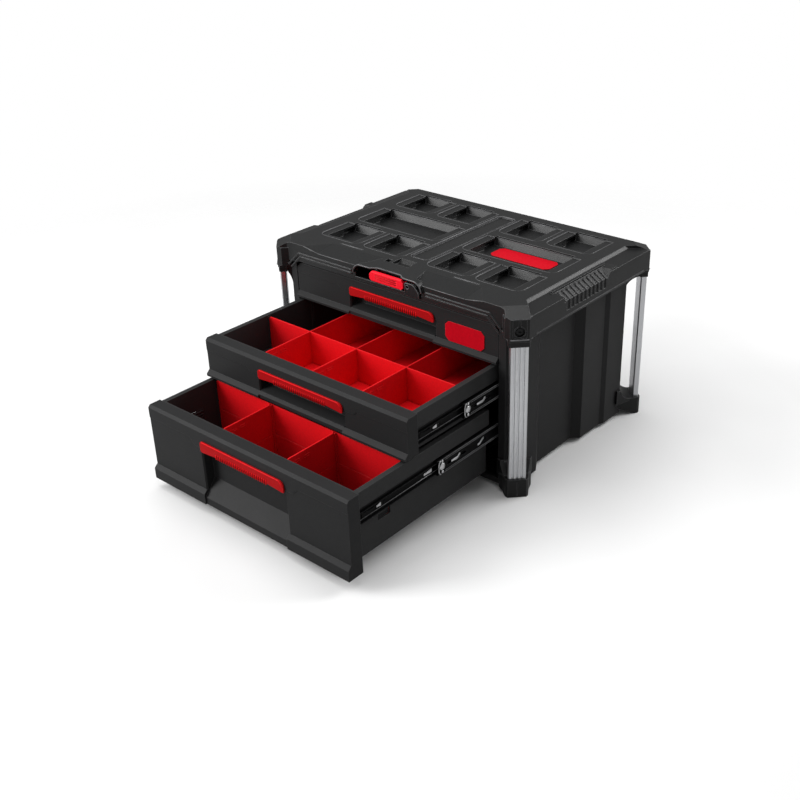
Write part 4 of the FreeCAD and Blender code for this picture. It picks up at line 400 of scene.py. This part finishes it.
def recess_lines():
    """Lines round the front and the sides of the stacking recesses."""
    margin, foot, ledge = 16.0, DECK - 1.5, DECK - 3.0
    places = [(sign * x, back, 31.0, 82.0)
              for x in (73.0, 177.0) for sign in (-1, 1) for back in (-46.0, 157.0)]
    places += [(sign * 125.0, 54.0, 83.0, 86.0) for sign in (-1, 1)]
    mesh = bmesh.new()
    for x, back, half, length in places:
        reach, front, end = half + margin, back - length - 2.0, back - 8.0
        plan = [(x - reach, end), (x - reach, front), (x + reach, front), (x + reach, end)]
        path = rounded_path([(a, b, foot) for a, b in plan], margin)
        add_bead(mesh, path, 1.5, 1.4, UP)
        lip = [(x + sign * (half - 1.0), back - 1.9, ledge) for sign in (-1, 1)]
        add_bead(mesh, lip, 1.0, 1.2, UP)
    finish_piece("recess_lines", mesh, LINE, "case", True)


def deck_lines():
    """Lines round the middle tray and along the two slots."""
    front, back, half, cut = -115.2, 145.2, 20.2, 6.6
    right = [(half - cut, front), (half, front + cut), (half, back - cut), (half - cut, back)]
    outline = right + [(-x, y) for x, y in reversed(right)]
    mesh = bmesh.new()
    add_bead(mesh, [(x, y, DECK - 2.5) for x, y in outline], 1.2, 2.4, UP, True)
    for sign in (-1, 1):
        for y in (-144.3, -142.5):
            add_bead(mesh, [(sign * x, y, DECK - 2.0) for x in (102.8, 153.2)], 0.9, 1.9, UP)
    finish_piece("deck_lines", mesh, LINE, "case", True)


def band_lines():
    """The line in the groove along the foot of each side band."""
    mesh = bmesh.new()
    for sign in (-1, 1):
        add_bead(mesh, [(sign * 280.8, y, 292.5) for y in (-162.0, 162.0)], 1.3, 1.1, (sign, 0.0, 0.0))
    finish_piece("band_lines", mesh, LINE, "case", True)


def hood_lines():
    """The rounded front edge of the hood over the latch, and of the arches at its ends."""
    top, bend, radius, face = 333.9, 59.0, 17.4, FASCIA - 0.6
    right = [(0.0, -188.6, top), (26.0, -188.6, top), (37.6, face, top), (bend, face, top)]
    for k in range(1, 9):
        turn = k * math.pi / 16
        right.append((bend + radius * math.sin(turn), face, top - radius * (1.0 - math.cos(turn))))
    mesh = bmesh.new()
    for sign in (-1, 1):
        add_bead(mesh, [(sign * x, y, z) for x, y, z in right], 1.6, 1.2, FORWARD)
    finish_piece("hood_lines", mesh, LINE, "case", True)


def collar_rims():
    """The rounded rim between each corner block and the collar of its post."""
    plan = [(280.4, 172.0), (280.4, 184.0), (262.8, 201.4), (253.0, 201.4)]
    mesh = bmesh.new()
    for sx in (-1, 1):
        for sy in (-1, 1):
            add_bead(mesh, [(sx * x, sy * y, 287.6) for x, y in plan], 2.8, 2.0, UP)
    finish_piece("collar_rims", mesh, LINE, "case", True)


def edge_lines():
    """Rounded edges of the deck, the side bands, the fascia and the corner blocks."""
    fascia_edge = -192.8
    mesh = bmesh.new()
    for sx in (-1, 1):
        add_bead(mesh, [(sx * 249.9, y, 334.4) for y in (-146.0, 146.0)], 1.0, 0.8, (sx, 0.0, 0.2))
        for ends in ((-180.0, -92.0), (58.0, 180.0)):
            add_bead(mesh, [(sx * 281.2, y, 325.3) for y in ends], 1.1, 0.75, (sx, 0.0, 0.0))
        low = [(sx * x, fascia_edge, 328.4) for x in (84.0, 164.0)]
        add_bead(mesh, low, 1.0, 0.8, (0.0, -1.0, 0.15))
        slope = [(sx * x, fascia_edge, z) for x, z in ((200.0, 334.2), (165.0, 328.6))]
        add_bead(mesh, slope, 1.0, 0.7, (0.0, -1.0, 0.1))
        for sy in (-1, 1):
            corner = [(sx * x, sy * y, 322.6) for x, y in ((281.4, 181.2), (260.2, 202.4))]
            add_bead(mesh, corner, 1.1, 0.5, (sx, sy, 0.0))
    finish_piece("edge_lines", mesh, LINE, "case", True)


# Latch

def latch_grip():
    """Three grip lines on the face of the latch bar."""
    mesh = bmesh.new()
    for z in (317.0, 320.5, 324.0):
        add_bead(mesh, [(x, FASCIA - 1.2, z) for x in (-21.0, 21.0)], 1.3, 0.8, FORWARD)
    finish_piece("latch_grip", mesh, GRIP_RED, "latch", True)


def bracket_rim():
    """The rolled edge of the bracket beside the latch, and the ring round its hole, pale as a painted
    highlight.
    """
    outline = [(40.6, 311.0), (40.6, 326.6), (59.0, 326.6), (69.6, 315.0), (70.4, 307.0)]
    hole_x, hole_z, radius, around = 46.0, 320.0, 3.4, 16
    mesh = bmesh.new()
    add_bead(mesh, rounded_path([(x, FASCIA, z) for x, z in outline], 4.0), 1.3, 0.9, FORWARD)
    turns = [k * 2 * math.pi / around for k in range(around)]
    ring = [(hole_x + radius * math.cos(t), FASCIA, hole_z + radius * math.sin(t)) for t in turns]
    add_bead(mesh, ring, 1.1, 0.7, FORWARD, True)
    finish_piece("bracket_rim", mesh, LINE, "case", True)


# Pull strips

TEETH = 27
TOOTH_PITCH = 4.4
TOOTH_DEPTH = 2.8
TOOTH_WAVE = [(-0.5, 0.0), (-0.22, 0.8), (0.0, 1.0), (0.22, 0.8)]   # along the pitch, down the depth
TEETH_START = -TOOTH_PITCH * TEETH / 2


def pull_grip(name):
    """A pull strip with rounded corners and small teeth along its lower edge, its ribs, and painted shadow
    lines between them.
    """
    node, body = "pull_strip_" + name, name + "_drawer"
    low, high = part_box(node)
    x0, x1, z0, z1 = low.x / MM, high.x / MM, low.z / MM, high.z / MM
    front, back = low.y / MM - SHIFT_Y, high.y / MM - SHIFT_Y
    face, lip_low, lip_high = front + 0.9, z0 + 3.6, z0 + 5.0
    outline = rounded_rectangle(x0, x1, z0, z1, (4.5, 2.5, 9.5, 5.5))
    corner = len(outline) // 4
    teeth = [(TEETH_START + TOOTH_PITCH * (k + 0.5 + along), z0 + TOOTH_DEPTH * (1 - down))
             for k in range(TEETH) for along, down in TOOTH_WAVE]
    teeth.append((TEETH_START + TOOTH_PITCH * TEETH, z0 + TOOTH_DEPTH))
    mesh = bmesh.new()
    add_prism(mesh, "y", outline[:corner] + teeth + outline[corner:], face, front + 3.4, 0.4)
    lip = [(front + 2.0, lip_low), (back, lip_low), (back, lip_high), (front + 2.0, lip_high)]
    add_prism(mesh, "x", lip, x0 + 2.0, x1 - 2.0, 0.4)
    finish_piece("pull_grip_" + name, mesh, PULL_RED, body, replaced=[node])
    pull_ribs(name, body, face, x0, x1, z0, z1)
    pull_rib_shadows(name, body, face, z0)


def pull_ribs(name, body, face, x0, x1, z0, z1):
    """A rib over each tooth, and the round edge along the strip's top and right end, in a paler red that is
    a painted highlight.
    """
    mesh = bmesh.new()
    for k in range(TEETH):
        x = TEETH_START + TOOTH_PITCH * (k + 0.5)
        add_bead(mesh, [(x, face + 0.1, z0 + rise) for rise in (0.6, 9.0)], 1.9, 0.95, FORWARD)
    crown = [(x0 + 5.0, z1 - 1.2), (x1 - 9.0, z1 - 1.2), (x1 - 1.5, z1 - 9.0)]
    add_bead(mesh, rounded_path([(x, face + 0.2, z) for x, z in crown], 4.0), 1.6, 0.7, FORWARD)
    finish_piece("pull_ribs_" + name, mesh, RIB_HIGHLIGHT_RED, body, True)


def pull_rib_shadows(name, body, face, z0):
    """Painted shadow: dark lines between the ribs."""
    mesh = bmesh.new()
    for k in range(1, TEETH):
        x = TEETH_START + TOOTH_PITCH * k
        add_bead(mesh, [(x, face + 0.1, z0 + rise) for rise in (TOOTH_DEPTH, 8.0)], 2.0, 0.3, FORWARD)
    finish_piece("pull_rib_shadows_" + name, mesh, RIB_SHADOW_RED, body, True)


# Slides

# Tabs pressed out of the middle rails: how far behind the front end, and the outline from there
TABS = [(31.0, [(0.0, -1.6), (14.0, -3.0), (19.0, -1.2), (22.5, 4.4), (20.0, 5.2), (15.5, 1.6), (0.0, 1.4)]),
        (98.0, [(0.0, -4.0), (6.0, -4.0), (16.0, 3.0), (15.0, 5.2), (11.0, 4.0), (5.0, -0.6), (0.0, -1.0)])]


def slide_ends(name):
    """The clamp with its rivets at the front end of each middle rail, and the pressed tabs behind it."""
    travel, z = DRAWERS[name]
    start = SLIDE_START - travel / 2
    rivet = start + 10.0
    hoop = [(5.0, 12.4), (0.9, 8.0), (0.9, -8.0), (5.0, -12.4)]
    mesh = bmesh.new()
    for sign in (-1, 1):
        x = sign * (MIDDLE_RAIL_FACE + 0.2)
        add_dome(mesh, (x, rivet, z), 5.4, 1.35, sign)
        for rise in (-9.6, 9.6):
            add_dome(mesh, (x, rivet, z + rise), 2.0, 1.2, sign)
        path = rounded_path([(x, start + y, z + rise) for y, rise in hoop], 3.5)
        add_bead(mesh, path, 1.7, 1.2, (sign, 0.0, 0.0))
        low, high = sorted((x - sign * 0.2, x + sign * 1.0))
        for first, outline in TABS:
            add_prism(mesh, "x", [(start + first + y, z + rise) for y, rise in outline], low, high, 0.3)
    finish_piece("slide_ends_" + name, mesh, ZINC, name + "_middle_rails", True)


def slide_lines(name):
    """The folded edges of the middle rails, in a pale grey that is a painted highlight."""
    travel, z = DRAWERS[name]
    start = SLIDE_START - travel / 2
    end = start + SLIDE_LENGTH - 1.0
    mesh = bmesh.new()
    for sign in (-1, 1):
        for rise, first in ((-12.2, 3.0), (-9.6, 16.0), (9.6, 16.0), (12.2, 3.0)):
            path = [(sign * MIDDLE_RAIL_FACE, y, z + rise) for y in (start + first, end)]
            add_bead(mesh, path, 0.9, 0.6, (sign, 0.0, 0.0))
    finish_piece("slide_lines_" + name, mesh, RAIL_HIGHLIGHT, name + "_middle_rails", True)


def inner_lines(name):
    """The ball races of the inner rails, in a pale grey that is a painted highlight."""
    travel, z = DRAWERS[name]
    start = SLIDE_START - travel
    mesh = bmesh.new()
    for sign in (-1, 1):
        for rise in (-6.4, 6.4):
            path = [(sign * INNER_RAIL_FACE, y, z + rise) for y in (start + 1.0, start + 300.0)]
            add_bead(mesh, path, 1.2, 0.8, (sign, 0.0, 0.0))
    finish_piece("inner_lines_" + name, mesh, RAIL_HIGHLIGHT, name + "_drawer", True)


def slide_tabs(name):
    """Pressed tabs and ball stops on the inner rails."""
    travel, z = DRAWERS[name]
    start = SLIDE_START - travel
    mesh = bmesh.new()
    for sign in (-1, 1):
        inner, outer = sorted((sign * (INNER_RAIL_FACE + 0.1), sign * (INNER_RAIL_FACE + 1.2)))
        for first, length in ((42.0, 9.0), (148.0, 19.0), (236.0, 12.0)):
            y0, y1 = start + first, start + first + length
            wedge = [(y0, z - 2.2), (y1, z - 3.0), (y1, z + 3.0), (y0, z + 0.8)]
            add_prism(mesh, "x", wedge, inner, outer, 0.3)
    finish_piece("slide_tabs_" + name, mesh, ZINC, name + "_drawer")


def rectangle(x0, x1, z0, z1):
    return [(x0, z0), (x1, z0), (x1, z1), (x0, z1)]


def tray_grille():
    """A thin dark plate with louvres in each window of the deep tray."""
    travel, runner = DRAWERS["bottom"]
    y0, y1 = -117.0 - travel, -89.0 - travel
    top, height, pitch, louvres = runner + 2.5, 31.0, 5.6, 5
    mesh = bmesh.new()
    for sign in (-1, 1):
        plate = sorted((sign * TRAY_SIDE, sign * (TRAY_SIDE - 0.6)))
        add_prism(mesh, "x", rectangle(y0, y1, top - height, top), *plate, 0.1)
        bars = sorted((sign * TRAY_SIDE, sign * (TRAY_SIDE - 2.0)))
        for k in range(louvres):
            z = top - 4.0 - pitch * k
            add_prism(mesh, "x", rectangle(y0 + 2.0, y1 - 2.0, z - 1.4, z + 1.0), *bars, 0.4)
    finish_piece("tray_grille", mesh, DRAWER, "bottom_drawer")


# Dividers

def floor_liner():
    """Red liners on the floor of the middle drawer's cells, right of the first divider."""
    travel = DRAWERS["middle"][0]
    foot, top = MIDDLE_TRAY_FLOOR + 0.1, MIDDLE_TRAY_FLOOR + 1.3
    mesh = bmesh.new()
    for x0, x1 in ((-108.0, -1.5), (1.5, 108.0), (111.0, 208.5)):
        for y0, y1 in ((-157.0, -57.0), (-53.0, 140.0)):
            outline = rounded_rectangle(x0, x1, y0 - travel, y1 - travel, (3.0, 3.0, 3.0, 3.0), 3)
            add_prism(mesh, "z", outline, foot, top, 0.3)
    finish_piece("floor_liner_middle", mesh, DIVIDER_RED, "middle_drawer")


def divider_marks(name, places):
    """Small slot outlines near the upper corners of the cross dividers."""
    travel = DRAWERS[name][0]
    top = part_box("long_divider_" + name)[1].z / MM
    length, low, high, radius = 14.0, top - 13.0, top - 9.0, 1.9
    mesh = bmesh.new()
    for x in places:
        for side in (-1, 1):
            for y in (-146.0 - travel, -126.0 - travel):
                ring = rounded_rectangle(y, y + length, low, high, [radius] * 4, 3)
                path = [(x + side * DIVIDER_HALF, a, b) for a, b in ring]
                add_bead(mesh, path, 0.8, 0.5, (side, 0.0, 0.0), True)
    finish_piece("divider_marks_" + name, mesh, DIVIDER_RED, name + "_drawer", True)


recess_lines()
deck_lines()
band_lines()
hood_lines()
collar_rims()
edge_lines()
latch_grip()
bracket_rim()
tray_grille()
floor_liner()
divider_marks("middle", (-109.5, 0.0, 109.5))
divider_marks("bottom", (-73.0, 73.0))
for drawer in DRAWERS:
    pull_grip(drawer)
    slide_ends(drawer)
    slide_lines(drawer)
    inner_lines(drawer)
    slide_tabs(drawer)


# Floor, light and camera

FADE_START = 0.75   # metres from the middle of the box
FADE_SPEED = 1.1
ROOM_LIGHT = 0.3
BACKDROP_WHITE = 1.0


def make_floor():
    """A pale floor that fades into the white backdrop. Reflections and bounced light see a darker floor."""
    mesh = bmesh.new()
    bmesh.ops.create_grid(mesh, x_segments=1, y_segments=1, size=20.0)
    data = bpy.data.meshes.new("floor")
    mesh.to_mesh(data)
    mesh.free()
    floor = bpy.data.objects.new("floor", data)
    bpy.context.scene.collection.objects.link(floor)
    finish = Finish("floor_paper")
    rays = finish.node("ShaderNodeLightPath", {}, {}, "Is Camera Ray")
    cloud = finish.noise(0.4, 2.0)
    tone = finish.mix((0.3 * cloud + rays * 0.7).clamped(), colour(0.3, 0.3, 0.3), colour(0.93, 0.93, 0.93))
    paper = finish.node("ShaderNodeBsdfPrincipled", {}, {"Base Color": tone, "Roughness": 0.9})
    clear = finish.node("ShaderNodeBsdfTransparent", {}, {})
    away = finish.node("ShaderNodeVectorMath", {"operation": "LENGTH"}, {0: finish.place()}, "Value")
    fade = ((away - FADE_START) * FADE_SPEED).clamped()
    finish.node_output(finish.node("ShaderNodeMixShader", {}, {0: fade, 1: paper, 2: clear}))
    data.materials.append(finish.material)


def make_world():
    """A plain studio: a soft grey light on the box, and white where the camera looks past it."""
    world = bpy.data.worlds.new("studio")
    bpy.context.scene.world = world
    world.use_nodes = True
    nodes, links = world.node_tree.nodes, world.node_tree.links
    nodes.clear()
    rays = nodes.new("ShaderNodeLightPath")
    blend = nodes.new("ShaderNodeMixShader")
    output = nodes.new("ShaderNodeOutputWorld")
    links.new(rays.outputs["Is Camera Ray"], blend.inputs[0])
    for place, strength in ((1, ROOM_LIGHT), (2, BACKDROP_WHITE)):
        light = nodes.new("ShaderNodeBackground")
        light.inputs["Color"].default_value = (1.0, 1.0, 1.0, 1.0)
        light.inputs["Strength"].default_value = strength
        links.new(light.outputs[0], blend.inputs[place])
    links.new(blend.outputs[0], output.inputs["Surface"])


def area_light(name, place, target, width, height, power):
    """A soft box at a place in metres, turned to its target."""
    data = bpy.data.lights.new(name, "AREA")
    data.shape = "RECTANGLE"
    data.size = width
    data.size_y = height
    data.energy = power
    lamp = bpy.data.objects.new(name, data)
    bpy.context.scene.collection.objects.link(lamp)
    lamp.location = place
    lamp.rotation_euler = (Vector(target) - Vector(place)).to_track_quat("-Z", "Y").to_euler()


# The camera as it was fitted to the edges in the photograph
CAMERA_PLACE = (1.13775, -1.24111, 1.00639)
CAMERA_TURN = (62.9924, 0.9589, 39.645)
CAMERA_LENS = 48.54
CAMERA_SHIFT = (-0.0501, -0.0426)


def make_camera():
    data = bpy.data.cameras.new("camera")
    data.sensor_width = 36.0
    data.lens = CAMERA_LENS
    data.shift_x, data.shift_y = CAMERA_SHIFT
    data.clip_end = 60.0
    camera = bpy.data.objects.new("camera", data)
    camera.location = CAMERA_PLACE
    camera.rotation_euler = [math.radians(turn) for turn in CAMERA_TURN]
    bpy.context.scene.collection.objects.link(camera)
    bpy.context.scene.camera = camera


make_floor()
make_world()
area_light("overhead", (-0.3, -0.2, 2.4), (0.0, 0.0, 0.2), 2.0, 2.0, 36.0)
area_light("front_left", (-1.75, -1.9, 1.35), (0.0, 0.0, 0.2), 1.2, 2.4, 76.0)
area_light("right_back", (1.5, 2.1, 1.9), (0.1, 0.1, 0.25), 1.5, 1.5, 50.0)
make_camera()
bpy.context.scene.view_settings.view_transform = "Standard"
